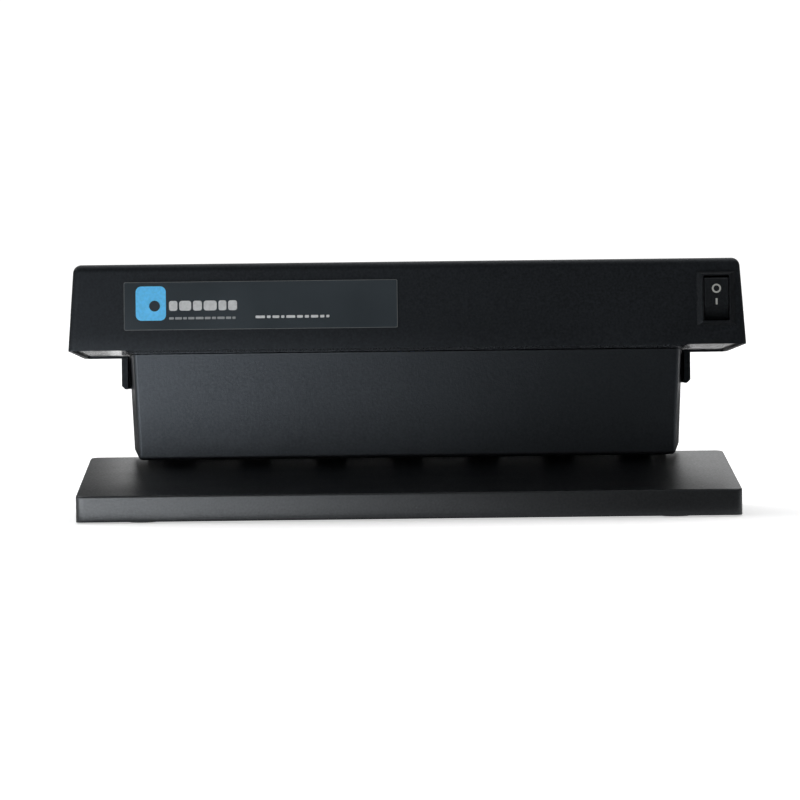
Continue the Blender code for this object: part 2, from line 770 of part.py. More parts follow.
def make_column_shell():
    bm = shaped_block(column_corner, column_rounded, COLUMN_EDGE, 3)
    remove_face(bm, (0, 1, 0))
    shell = place(mesh_of(bm, "column_shell"), "column_shell", CASE)
    thicken(shell, COLUMN_WALL)
    bm = bmesh.new()
    for x, z in COVER_SCREWS:
        add_rod(bm, (x, COLUMN_FACE_FOOT + 0.0005, z), (x, COLUMN_BACK - GAP, z), BOSS_RADIUS)
    boolean(shell, cutter(mesh_of(bm, "cover_bosses"), "cover_bosses"), "UNION")
    bm = bmesh.new()
    y = COLUMN_MIDDLE
    for x in NECK_SCREWS:
        add_rod(bm, (x, y, NECK_BOSS_FOOT), (x, y, column_head(y) - 0.001), BOSS_RADIUS)
    foot = column_foot(PAD_SCREW_Y) + 0.001
    for x in base_screws():
        add_rod(bm, (x, PAD_SCREW_Y, foot), (x, PAD_SCREW_Y, BASE_BOSS_TOP), BOSS_RADIUS)
    boolean(shell, cutter(mesh_of(bm, "column_bosses"), "column_bosses"), "UNION")
    bm = bmesh.new()
    for x, z in COVER_SCREWS:
        add_rod(bm, (x, 0.034, z), (x, COLUMN_BACK + 0.002, z), BORE_RADIUS)
    for x in NECK_SCREWS:
        add_rod(bm, (x, y, NECK_BOSS_FOOT + 0.0015), (x, y, 0.070), BORE_RADIUS)
    for x in base_screws():
        add_rod(bm, (x, PAD_SCREW_Y, 0.015), (x, PAD_SCREW_Y, BASE_BOSS_TOP - 0.002), BORE_RADIUS)
    add_block(bm, (*CABLE_PASS[0], 0.055), (*CABLE_PASS[1], 0.070))
    boolean(shell, cutter(mesh_of(bm, "column_holes"), "column_holes"))
    smooth(shell)


def base_screws():
    return (-3 * PAD_PITCH, 3 * PAD_PITCH)


def make_rear_cover():
    front = COLUMN_BACK + GAP
    back = front + COVER_THICK
    top = column_head(back) - 0.0004
    foot = column_foot(back) + 0.0004
    half_top = COLUMN_TOP_WIDTH / 2 + COLUMN_FLARE - 0.0001
    half_foot = COLUMN_FOOT_WIDTH / 2 + COLUMN_FLARE - 0.0001
    outline = [(-half_foot, foot), (half_foot, foot), (half_top, top), (-half_top, top)]
    mesh = outline_mesh("column_rear_cover", outline, front, back, "Y")
    cover = place(mesh, "column_rear_cover", CASE)
    for side, sign in (("left", -1), ("right", 1)):
        root, inner, outer = LUG_SIDES
        plan = [
            (sign * root, front),
            (sign * inner, front),
            (sign * inner, LUG_FRONT),
            (sign * outer, LUG_FRONT),
            (sign * outer, back),
            (sign * root, back),
        ]
        mesh = outline_mesh(f"lug_{side}", plan, LUG_FOOT, RIM_FRONT, "Z")
        for vert in mesh.vertices:
            if vert.co.z > (LUG_FOOT + RIM_FRONT) / 2:
                vert.co.z = rim_height(vert.co.y) - GAP
        boolean(cover, cutter(mesh, f"lug_{side}"), "UNION")
        over = LUG_CHAMFER + 0.001
        corner = [
            (sign * (outer - over), LUG_FOOT - 0.001),
            (sign * (outer + 0.001), LUG_FOOT - 0.001),
            (sign * (outer + 0.001), LUG_FOOT + over),
        ]
        mesh = outline_mesh(f"lug_chamfer_{side}", corner, LUG_FRONT - 0.002, back + 0.002, "Y")
        boolean(cover, cutter(mesh, f"lug_chamfer_{side}"))
    bm = bmesh.new()
    for x, z in COVER_SCREWS:
        add_rod(bm, (x, front - 0.002, z), (x, back + 0.002, z), BORE_RADIUS)
    x, z = GLAND
    add_rod(bm, (x, front - 0.002, z), (x, back + 0.002, z), GLAND_HOLE, 16)
    foot, top = VENT_REACH
    for side in (-1, 1):
        for i in range(VENT_COUNT):
            x = side * VENT_CENTRE + (i - (VENT_COUNT - 1) / 2) * VENT_PITCH
            low, high = (x - VENT_HALF, front - 0.002, foot), (x + VENT_HALF, back + 0.002, top)
            add_block(bm, low, high)
    boolean(cover, cutter(mesh_of(bm, "cover_holes"), "cover_holes"))


def make_gland():
    """Ring that lines the cord inlet and grips the rear cover."""
    profile = [
        (0.0066, -0.0068),
        (0.0066, -0.0042),
        (0.0050, -0.0042),
        (0.0050, -0.0012),
        (0.0072, -0.0012),
        (0.0072, 0.0002),
        (0.0046, 0.00566),
        (0.0036, 0.00566),
        (0.0036, -0.0068),
    ]
    profile.reverse()
    profile.append(profile[0])
    gland = place(turned_mesh("cord_gland", profile, 16), "cord_gland", RUBBER)
    back = COLUMN_BACK + GAP + COVER_THICK
    gland.location = (GLAND[0], back + GAP + GLAND_LEDGE, GLAND[1])
    gland.rotation_euler.x = math.radians(-90)
    smooth(gland)


# Electrical parts in the column


def make_ballast(side):
    start = Vector((BALLAST_LOW_X[side], 0, 0))
    name = f"ballast_{side}"
    low, high = (start + Vector(corner) for corner in BALLAST_CORE)
    core = place(block_mesh(name, low, high), name, CORE)
    low, high = (start + Vector(corner) for corner in BALLAST_COIL)
    coil = block_mesh(name + "_coil", low, high)
    boolean(core, cutter(coil, name + "_coil"), "UNION")


def make_starter(side, sign):
    inner, outer = (sign * x for x in STARTER_REACH)
    name = f"starter_{side}"
    mesh = rod_mesh(name, (inner, *STARTER_AXIS), (outer, *STARTER_AXIS), STARTER_RADIUS, 16)
    smooth(place(mesh, name, CANISTER))
    name = f"starter_socket_{side}"
    start = outer + sign * GAP
    low, high = sorted((start, start + sign * SOCKET_THICK))
    block = block_mesh(name, (low, *SOCKET_SECTION[0]), (high, *SOCKET_SECTION[1]))
    place(block, name, HOLDER)


def make_terminal_block():
    block = place(block_mesh("terminal_block", *TERMINAL_BLOCK), "terminal_block", HOLDER)
    radius, floor = BLOCK_WELL
    top = TERMINAL_BLOCK[1][2] + 0.003
    bm = bmesh.new()
    for x in BLOCK_WELLS:
        add_rod(bm, (x, COLUMN_MIDDLE, floor), (x, COLUMN_MIDDLE, top), radius, 8)
    boolean(block, cutter(mesh_of(bm, "terminal_wells"), "terminal_wells"))


def make_wire(name, route):
    """A wire through the points of route, eased by a smooth curve."""
    points = [Vector(p) for p in route]
    padded = [2 * points[0] - points[1]] + points + [2 * points[-1] - points[-2]]
    eased = []
    for before, a, b, after in zip(padded, padded[1:], padded[2:], padded[3:]):
        for step in range(WIRE_STEPS):
            t = step / WIRE_STEPS
            pull = (b - before) * t + (2 * before - 5 * a + 4 * b - after) * t * t
            pull += (3 * a - before - 3 * b + after) * t ** 3
            eased.append(a + pull / 2)
    eased.append(points[-1])
    curve = bpy.data.curves.new(name, "CURVE")
    curve.dimensions = "3D"
    curve.bevel_depth = WIRE_RADIUS
    curve.bevel_resolution = 1
    curve.use_fill_caps = True
    spline = curve.splines.new("POLY")
    spline.points.add(len(eased) - 1)
    for point, spot in zip(spline.points, eased):
        point.co = (*spot, 1.0)
    curve.materials.append(WIRE)
    PARTS.objects.link(bpy.data.objects.new(name, curve))


def make_wires():
    make_wire("wire_inlet", INLET_ROUTE)
    make_wire("wire_switch", SWITCH_ROUTE)
    for side, sign in (("left", -1), ("right", 1)):
        make_wire(f"wire_lamps_{side}", [(sign * x, y, z) for x, y, z in LAMP_ROUTE])


# Base


def base_corner(sx, sy, sz):
    y = BASE_FRONT if sy < 0 else BASE_BACK
    return (sx * BASE_WIDTH / 2, y, bed_height(y) if sz > 0 else BASE_BOTTOM)


def bed_block(bm, low, high, height):
    """A block that stands on the bed, from low to high in x and y, rooted in its skin."""
    for vert in add_block(bm, (*low, 0), (*high, 1)):
        lift = height if vert.co.z > 0.5 else -0.001
        vert.co.z = bed_height(vert.co.y) + lift


def pad_mesh():
    bm = bmesh.new()
    front, back = PAD_REACH
    for i in range(PAD_COUNT):
        x = (i - (PAD_COUNT - 1) / 2) * PAD_PITCH
        bed_block(bm, (x - PAD_WIDTH / 2, front), (x + PAD_WIDTH / 2, back), PAD_HEIGHT)
    return mesh_of(bm, "column_pads")


def rib_mesh():
    bm = bmesh.new()
    bed_block(bm, (-RIB_HALF, RIB_REACH[0]), (RIB_HALF, RIB_REACH[1]), RIB_HEIGHT)
    return mesh_of(bm, "column_rib")


def base_hollow_corner(sx, sy, sz):
    y = BASE_FRONT + WALL if sy < 0 else BASE_BACK - WALL
    z = bed_height(y) - WALL if sz > 0 else BASE_BOTTOM - 0.002
    return (sx * (BASE_WIDTH / 2 - WALL), y, z)


def is_upright(a, b):
    return a[2] != b[2]


def make_base_plate():
    bm = shaped_block(base_corner, is_upright, BASE_CORNER, 4)
    top = max(bm.faces, key=lambda f: f.calc_center_median().z)
    bmesh.ops.bevel(
        bm, geom=list(top.edges), offset=BED_EDGE, segments=2, profile=0.5, affect="EDGES"
    )
    base = place(mesh_of(bm, "base_plate"), "base_plate", BED)
    hollow = mesh_of(shaped_block(base_hollow_corner, is_upright, 0.0012, 1), "base_hollow")
    boolean(base, cutter(hollow, "base_hollow"))
    boolean(base, cutter(pad_mesh(), "column_pads"), "UNION")
    boolean(base, cutter(rib_mesh(), "column_rib"), "UNION")
    spots = [(sign * PLATE_SCREW_X, y) for sign in (-1, 1) for y in FOOT_Y]
    bm = bmesh.new()
    floor = PLATE_BOTTOM + PLATE_THICK + GAP
    for x, y in spots:
        add_rod(bm, (x, y, floor), (x, y, bed_height(y) - WALL / 2), BOSS_RADIUS)
    boolean(base, cutter(mesh_of(bm, "plate_bosses"), "plate_bosses"), "UNION")
    bm = bmesh.new()
    for x, y in spots:
        add_rod(bm, (x, y, 0.002), (x, y, floor + 0.0035), BORE_RADIUS)
    for x in base_screws():
        add_rod(bm, (x, PAD_SCREW_Y, 0.010), (x, PAD_SCREW_Y, 0.030), BORE_RADIUS)
    boolean(base, cutter(mesh_of(bm, "base_holes"), "base_holes"))
    smooth(base)


def make_bottom_plate():
    inset = WALL + GAP + 0.0002
    x = BASE_WIDTH / 2 - inset
    low = (-x, BASE_FRONT + inset, PLATE_BOTTOM)
    bm = bmesh.new()
    add_block(bm, low, (x, BASE_BACK - inset, PLATE_BOTTOM + PLATE_THICK))
    upright = [e for e in bm.edges if abs((e.verts[0].co - e.verts[1].co).z) > 0.001]
    bmesh.ops.bevel(bm, geom=upright, offset=0.0014, segments=1, affect="EDGES")
    plate = place(mesh_of(bm, "bottom_plate"), "bottom_plate", STEEL)
    bm = bmesh.new()
    for sign in (-1, 1):
        for y in FOOT_Y:
            spot = sign * PLATE_SCREW_X
            add_rod(bm, (spot, y, 0.001), (spot, y, 0.006), BORE_RADIUS)
    boolean(plate, cutter(mesh_of(bm, "plate_holes"), "plate_holes"))


def make_feet():
    top = PLATE_BOTTOM - GAP
    profile = [
        (0, top),
        (FOOT_RADIUS, top),
        (FOOT_RADIUS - 0.0005, 0.0004),
        (FOOT_RADIUS - 0.001, 0),
        (0, 0),
    ]
    mesh = turned_mesh("rubber_foot", profile, 16)
    for side, sign in (("left", -1), ("right", 1)):
        for end, y in zip(("front", "back"), FOOT_Y):
            foot = place(mesh, f"foot_{end}_{side}", RUBBER)
            foot.location = (sign * FOOT_X, y, 0)
    mesh.shade_smooth()
    mesh.set_sharp_from_angle(angle=math.radians(30))


# Screws: the head's seat is at local z = 0 and the shank runs down


def screw_mesh(name, length):
    top = HEAD_HEIGHT
    profile = [
        (0, top),
        (HEAD_RADIUS * 0.6, top),
        (HEAD_RADIUS, top * 0.45),
        (HEAD_RADIUS, 0),
        (SCREW_RADIUS, 0),
        (SCREW_RADIUS, 0.001 - length),
        (0.0005, -length),
        (0, -length),
    ]
    body = place(turned_mesh(name, profile, 10), name, None)
    bm = bmesh.new()
    add_block(bm, (-0.0014, -0.00025, top - 0.0009), (0.0014, 0.00025, top + 0.001))
    cross = cutter(mesh_of(bm, name + "_recess"), name + "_recess")
    boolean(body, cross)
    other = cutter(cross.data, name + "_recess_across")
    other.rotation_euler.z = math.radians(90)
    boolean(body, other)
    bpy.context.view_layer.update()
    graph = bpy.context.evaluated_depsgraph_get()
    mesh = bpy.data.meshes.new_from_object(body.evaluated_get(graph))
    for obj in (body, cross, other):
        bpy.data.objects.remove(obj, do_unlink=True)
    mesh.materials.clear()
    mesh.materials.append(STEEL)
    return mesh


def put_screw(mesh, name, seat, head_side):
    """Seats a screw at a point, with its head on the side that head_side points to."""
    screw = place(mesh, name, STEEL)
    screw.location = seat
    screw.rotation_mode = "QUATERNION"
    screw.rotation_quaternion = Vector(head_side).to_track_quat("Z", "Y")


def make_screws():
    mesh = screw_mesh("case_screw", LONG_SCREW)
    for i, (x, y) in enumerate(PAN_SCREWS):
        seat = (x, y, rim_height(y) + PAN_RECESS + CUP_DEPTH - GAP - 0.0001)
        put_screw(mesh, f"pan_screw_{i + 1}", seat, (0, 0, -1))
    back = COLUMN_BACK + GAP + COVER_THICK + GAP
    for i, (x, z) in enumerate(COVER_SCREWS):
        put_screw(mesh, f"rear_cover_screw_{i + 1}", (x, back, z), (0, 1, 0))
    spots = [(sign * PLATE_SCREW_X, y) for y in FOOT_Y for sign in (-1, 1)]
    short = screw_mesh("plate_screw", SHORT_SCREW)
    for i, (x, y) in enumerate(spots):
        put_screw(short, f"bottom_plate_screw_{i + 1}", (x, y, PLATE_BOTTOM - GAP), (0, 0, -1))
    for i, x in enumerate(base_screws()):
        under = bed_height(PAD_SCREW_Y) - WALL - GAP - 0.0004
        put_screw(mesh, f"column_screw_{i + 1}", (x, PAD_SCREW_Y, under), (0, 0, -1))
    for i, x in enumerate(NECK_SCREWS):
        over = rim_height(COLUMN_MIDDLE) + PAN_RECESS + PAN_THICK + GAP + 0.0001
        put_screw(mesh, f"neck_screw_{i + 1}", (x, COLUMN_MIDDLE, over), (0, 0, 1))


def main():
    frame = make_switch_frame()
    make_head_cover(frame)
    make_head_pan()
    make_reflector()
    for row in LAMP_Y:
        make_lamp(row)
    make_switch_housing(frame)
    make_plunger(make_rocker(frame))
    make_contacts(frame)
    make_label()
    make_column_shell()
    make_rear_cover()
    make_gland()
    for side, sign in (("left", -1), ("right", 1)):
        make_ballast(side)
        make_starter(side, sign)
    make_terminal_block()
    make_wires()
    make_base_plate()
    make_bottom_plate()
    make_feet()
    make_screws()


main()
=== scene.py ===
"""Looks of the counterfeit bill detector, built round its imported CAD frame."""

import json
import math

import bmesh
import bpy
from mathutils import Matrix, Vector


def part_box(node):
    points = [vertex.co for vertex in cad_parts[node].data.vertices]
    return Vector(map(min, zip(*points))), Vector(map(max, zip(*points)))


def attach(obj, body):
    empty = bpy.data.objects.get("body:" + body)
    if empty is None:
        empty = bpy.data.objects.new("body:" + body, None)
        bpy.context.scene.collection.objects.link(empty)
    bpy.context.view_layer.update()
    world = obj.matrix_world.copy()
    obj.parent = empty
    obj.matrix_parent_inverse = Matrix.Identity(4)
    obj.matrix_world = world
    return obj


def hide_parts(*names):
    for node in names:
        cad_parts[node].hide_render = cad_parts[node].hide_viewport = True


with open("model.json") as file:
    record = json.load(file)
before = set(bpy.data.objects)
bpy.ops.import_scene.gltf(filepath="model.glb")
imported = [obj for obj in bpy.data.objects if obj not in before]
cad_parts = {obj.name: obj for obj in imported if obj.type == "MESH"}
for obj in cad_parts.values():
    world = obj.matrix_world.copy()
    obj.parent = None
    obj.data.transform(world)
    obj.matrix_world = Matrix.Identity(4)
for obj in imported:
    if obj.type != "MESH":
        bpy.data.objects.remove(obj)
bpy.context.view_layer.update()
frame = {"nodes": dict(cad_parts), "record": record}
NODES = frame["nodes"]
JOINTS = {joint["name"]: joint for joint in frame["record"]["behaviour"]["joints"]}

# Shape constants that the frame's boxes don't give
DRAFT = math.tan(math.radians(4.05))
LEAN = math.atan(DRAFT)
UNDERSIDE_SLOPE = math.tan(math.radians(2.2))
BED_SLOPE = math.tan(math.radians(5.4))
WALL = 0.0024
COLUMN_WALL = 0.0022
HEAD_CORNER = 0.003
COLUMN_EDGE = 0.0016
COLUMN_FLARE = 0.0028  # each side is this much further out at the back
BASE_CORNER = 0.0035
BED_EDGE = 0.0008
MM = 0.001
GAP = 0.0003
RIM_FRONT = 0.0665
HEAD_HALF = 0.1304
COLUMN_BACK = 0.054
PAN_TO_BOSS = 0.0055  # from the rim up to the foot of the cover's bosses
CURL_TOP = 0.0730  # the front face curls in below here
CURL_DEPTH = 0.0004
CURL_STEPS = 8
BOSS_RADIUS = 0.0036
BORE_RADIUS = 0.0018
PAN_BORE_DEPTH = 0.011
BED_FRONT = 0.0106
COLUMN_LEAN = 0.002  # the front face's foot is this much further back
COLUMN_TAPER = 0.00175  # each side's foot is this much further in
COLUMN_TOP_GAP = 0.0005
COLUMN_FOOT_GAP = 0.0022
COVER_INSET = 0.0004
COVER_CORNER = 0.0018
NECK_BOSS_FOOT = 0.050
BASE_BOSS_TOP = 0.034
CABLE_PASS = ((-0.0135, 0.034), (0.0135, 0.044))  # opening between the column and the head
GLAND_BORE = 0.0053
BUSH_BORE, BUSH_NECK = 0.0036, 0.0050  # radii of the gland's bore and of its neck in the cover
BUSH_FLANGE, BUSH_GROOVE = 0.0068, 0.0098  # from its outer end to both sides of the neck
LUG_ROOT = 0.1105
LUG_INNER = 0.1124
LUG_FOOT = 0.0494
LUG_CHAMFER = 0.0014
VENT_COUNT = 9
VENT_CENTRE = 0.034
VENT_PITCH = 0.0065
VENT_HALF = 0.0013
VENT_FOOT = 0.036
VENT_TOP = 0.052
PAD_COUNT = 7
PAD_PITCH = 0.0307
PAD_WIDTH = 0.0125
PAD_HEIGHT = 0.0019
PAD_REACH = (0.0455, 0.0515)  # front and back
RIB_REACH = (0.0500, 0.0535)
RIB_HALF = 0.105
RIB_HEIGHT = 0.0016
BEZEL_HALF = (0.0075, 0.0104)
BEZEL_PROUD = 0.0018
WELL_HALF = (0.0049, 0.0087)
SNAP_HALF = (0.0066, 0.0098)
SNAP_DEPTH = 0.0142
SWITCH_BACK = 0.0013
TERMINAL_SLOT = (0.0027, 0.0007)  # half width and half height
ROCKER_PIVOT = 0.001
# Side of the rocker: y and z about its pivot, and how far each corner is rounded
ROCKER_SIDE = (
    (-0.0034, 0.0073, 0.0003),
    (-0.0029, -0.0031, 0.0003),
    (0.0012, -0.0080, 0.0005),
    (0.0026, -0.0072, 0.0004),
    (0.0042, -0.0030, 0.0008),
    (0.0042, 0.0046, 0.0008),
    (0.0010, 0.0081, 0.0004),
    (-0.0028, 0.0078, 0.0002),
)
STUB_RADIUS = 0.0011
STUB_BORE = (0.0014, 0.008)  # radius, and half of the length
PLUNGER_TILT = math.radians(11)
PLUNGER_WELL = (0.0019, 0.0008, 0.0060)  # radius, start and end behind the pivot
PIN_RADIUS = 0.0012
PIN_PITCH = 0.00475
PIN_LENGTH = 0.0068
SCREW_TOP = 0.0016
SCREW_HEAD = 0.0028
SCREW_CORE = 0.0012
SCREW_CREST = 0.0015
LONG_SCREW, SHORT_SCREW = 0.0085, 0.0045
THREAD_PITCH = 0.0009
RECESS_HALF = (0.0015, 0.00028)
RECESS_DEPTH = 0.0010

# Printed marks
PRINT_HALF = 0.00004
O_CENTRE = 0.00365
O_RADIUS = 0.00175
O_STROKE = 0.00062
I_CENTRE = -0.00135
I_HALF = (0.00035, 0.0012)
FILM_FRONT = -0.00036
FILM_BACK = -0.00002
PRINT_FRONT = -0.00040
# Width of the lighter ring round the label's front border: a painted highlight along its edge
HIGHLIGHT_RIM = 0.00022
RIM_PROUD = FILM_FRONT - 0.00002
EMBLEM_CENTRE = (-0.0422, 0.0010)
EMBLEM_HALF = (0.0058, 0.0066)
# Rows of bars: start, height on the label, bar height, space, and the widths in millimetres
TITLE = (-0.0352, 0.0000, 0.0038, 0.0007, (3.2, 4.6, 3.4, 5.0, 3.0, 3.4))
CAPTION = (-0.0352, -0.0048, 0.0009, 0.0005, (1.8, 2.6, 1.4, 2.4, 3.0, 2.2, 1.6, 2.8, 2.0, 1.2))
NOTE = (-0.0020, -0.0046, 0.0010, 0.00075, (3.6, 1.4, 2.6, 1.2, 3.4, 2.2, 1.6, 2.8, 1.6, 1.2))

# Colours
COOL = (0.78, 0.88, 1.0, 1.0)
FAINT_COOL = (0.90, 0.95, 1.0, 1.0)
BLACK_STEEL = (0.055, 0.056, 0.060)
ALUMINIUM = (0.83, 0.84, 0.86)
HEAD_BLACK = (0.0085, 0.0097, 0.0112)
COLUMN_BLACK = (0.0100, 0.0110, 0.0124)
BED_BLACK = (0.0122, 0.0129, 0.0140)
SWITCH_BLACK = (0.0088, 0.0096, 0.0106)

# Frames that tilt with the head's front face
PIVOT_FRAME = Matrix.Translation(JOINTS["rocker_hinge"]["pos_m"]) @ Matrix.Rotation(-LEAN, 4, "X")
SWITCH_FRAME = PIVOT_FRAME @ Matrix.Translation((0, -ROCKER_PIVOT, 0))

# Camera
SENSOR = 36.0
FOCAL = 6.71875 * SENSOR
CAMERA_PLACE = (-0.0123, -2.1265, 0.0934)
CAMERA_TURN, CAMERA_DIP, CAMERA_ROLL = (math.radians(a) for a in (-0.256, 1.307, -0.67))

# Stage and light
REFLECTED_ONLY = ("camera", "diffuse", "shadow", "transmission")
FLOOR_RADIUS = 20.0
BACKDROP_RADIUS = 12.0
ROOM_REACH = (0.2, 0.9)  # part of the room over which it brightens, front to back
ROOM_FRONT = 0.22
ROOM_BACK = 0.60
SUN_STRENGTH = 2.2
SUN_SPREAD = math.radians(80)
SUN_TURN = (math.radians(-28), math.radians(-12), 0.0)
FLOOR_GLOW = 0.45
TABLE_BRIGHT = 17.5
TABLE_SKEW = 0.24
TABLE_DIM = 0.02
TABLE_FALL = (-0.34, 0.16)  # x over which the glow dims
TABLE_LEFT = (-0.46, -0.20)  # x over which it starts
TABLE_NEAR = (-0.54, -0.14)  # y over which it starts
TABLE_HALF = (1.4, 0.9)
TABLE_CENTRE = (0.0, -0.970, 0.001)
# Upright black cards: x and y of both ends, the foot and the top
FLAGS = {
    "left_low": ((-0.900, 0.22), (-0.128, 0.22), 0.0, 0.042),
    "left_high": ((-0.900, 0.22), (-0.128, 0.22), 0.062, 0.25),
    "right_low": ((0.120, 0.22), (0.900, 0.22), 0.0, 0.042),
    "left_side": ((-0.450, -0.30), (-0.450, 0.22), 0.0, 0.30),
    "right_side": ((0.450, -0.30), (0.450, 0.22), 0.0, 0.30),
}


# Camera and stage


def link(obj):
    bpy.context.scene.collection.objects.link(obj)
    return obj


def make_camera():
    data = bpy.data.cameras.new("camera")
    data.sensor_width = SENSOR
    data.lens = FOCAL
    data.clip_end = 60.0
    camera = link(bpy.data.objects.new("camera", data))
    turn = Matrix.Rotation(CAMERA_TURN, 4, "Z")
    pitch = Matrix.Rotation(math.pi / 2 - CAMERA_DIP, 4, "X")
    roll = Matrix.Rotation(CAMERA_ROLL, 4, "Z")
    camera.matrix_world = Matrix.Translation(CAMERA_PLACE) @ turn @ pitch @ roll
    bpy.context.scene.camera = camera


def new_material(name):
    made = bpy.data.materials.new(name)
    made.use_nodes = True
    return made, made.node_tree.nodes, made.node_tree.links


def mesh_from(bm, name):
    mesh = bpy.data.meshes.new(name)
    bm.to_mesh(mesh)
    bm.free()
    return mesh


def stage_piece(name, bm, material, unseen_by=()):
    made = link(bpy.data.objects.new(name, mesh_from(bm, name)))
    made.data.materials.append(material)
    for ray in unseen_by:
        setattr(made, "visible_" + ray, False)
    return made


def glow_material(name, strength):
    made, nodes, links = new_material(name)
    nodes.clear()
    glow = nodes.new("ShaderNodeEmission")
    glow.inputs["Strength"].default_value = strength
    out = nodes.new("ShaderNodeOutputMaterial")
    links.new(glow.outputs[0], out.inputs["Surface"])
    return made, nodes, links, glow


def add_math(nodes, links, operation, *values):
    made = nodes.new("ShaderNodeMath")
    made.operation = operation
    for socket, value in zip(made.inputs, values):
        if isinstance(value, (int, float)):
            socket.default_value = value
        else:
            links.new(value, socket)
    return made.outputs[0]


def add_range(nodes, links, value, source, target=(0.0, 1.0), kind="LINEAR"):
    made = nodes.new("ShaderNodeMapRange")
    made.interpolation_type = kind
    for key, number in zip(("From Min", "From Max", "To Min", "To Max"), (*source, *target)):
        made.inputs[key].default_value = number
    links.new(value, made.inputs["Value"])
    return made.outputs[0]


def make_floor():
    material, nodes, _ = new_material("floor_white")
    shader = nodes["Principled BSDF"]
    shader.inputs["Base Color"].default_value = (0.93, 0.93, 0.93, 1.0)
    shader.inputs["Roughness"].default_value = 0.9
    shader.inputs["Specular IOR Level"].default_value = 0.0
    shader.inputs["Emission Color"].default_value = (1.0, 1.0, 1.0, 1.0)
    shader.inputs["Emission Strength"].default_value = FLOOR_GLOW
    bm = bmesh.new()
    bmesh.ops.create_circle(bm, cap_ends=True, segments=64, radius=FLOOR_RADIUS)
    stage_piece("floor", bm, material)


def make_backdrop():
    """White all round, seen by the camera alone."""
    material = glow_material("backdrop_white", 1.1)[0]
    bm = bmesh.new()
    bmesh.ops.create_uvsphere(bm, u_segments=48, v_segments=24, radius=BACKDROP_RADIUS)
    stage_piece("backdrop", bm, material, ("diffuse", "glossy", "transmission", "shadow"))


def make_room():
    """A dim room, brighter behind the object than on the user's side."""
    world = bpy.data.worlds.new("room")
    world.use_nodes = True
    bpy.context.scene.world = world
    nodes, links = world.node_tree.nodes, world.node_tree.links
    place = nodes.new("ShaderNodeTexCoord")
    split = nodes.new("ShaderNodeSeparateXYZ")
    links.new(place.outputs["Generated"], split.inputs[0])
    spread = add_range(nodes, links, split.outputs["Y"], ROOM_REACH, (ROOM_FRONT, ROOM_BACK))
    links.new(spread, nodes["Background"].inputs["Strength"])
    nodes["Background"].inputs["Color"].default_value = (1.0, 1.0, 1.0, 1.0)


def make_sun():
    data = bpy.data.lights.new("soft_sun", "SUN")
    data.energy = SUN_STRENGTH
    data.angle = SUN_SPREAD
    sun = link(bpy.data.objects.new("soft_sun", data))
    sun.rotation_euler = SUN_TURN


def make_table_glow():
    """A card seen only in reflections: the lit table before the object, bright at the left."""
    material, nodes, links, glow = glow_material("table_glow", 1.0)
    place = nodes.new("ShaderNodeTexCoord")
    split = nodes.new("ShaderNodeSeparateXYZ")
    links.new(place.outputs["Object"], split.inputs[0])
    x, y = split.outputs["X"], split.outputs["Y"]
    along = add_math(nodes, links, "MULTIPLY_ADD", y, -TABLE_SKEW, x)
    fall = add_range(nodes, links, along, TABLE_FALL, (TABLE_BRIGHT, TABLE_DIM), "SMOOTHERSTEP")
    near = add_range(nodes, links, y, TABLE_NEAR, kind="SMOOTHSTEP")
    left = add_range(nodes, links, x, TABLE_LEFT, kind="SMOOTHSTEP")
    ends = add_math(nodes, links, "MULTIPLY", near, left)
    links.new(add_math(nodes, links, "MULTIPLY", fall, ends), glow.inputs["Strength"])
    bm = bmesh.new()
    bmesh.ops.create_grid(bm, x_segments=1, y_segments=1, size=1.0)
    bmesh.ops.scale(bm, verts=bm.verts, vec=(*TABLE_HALF, 1.0))
    bmesh.ops.translate(bm, verts=bm.verts, vec=TABLE_CENTRE)
    stage_piece("table_glow", bm, material, REFLECTED_ONLY)


def make_flags():
    """Black cards behind and beside the object, seen only in reflections, that keep its sides dark."""
    material, nodes, _ = new_material("flag_black")
    nodes["Principled BSDF"].inputs["Base Color"].default_value = (0.01, 0.01, 0.01, 1.0)
    nodes["Principled BSDF"].inputs["Roughness"].default_value = 1.0
    for side, (start, end, foot, top) in FLAGS.items():
        bm = bmesh.new()
        corners = [(*start, foot), (*end, foot), (*end, top), (*start, top)]
        bm.faces.new([bm.verts.new(corner) for corner in corners])
        stage_piece(f"flag_{side}", bm, material, REFLECTED_ONLY)


# Material building


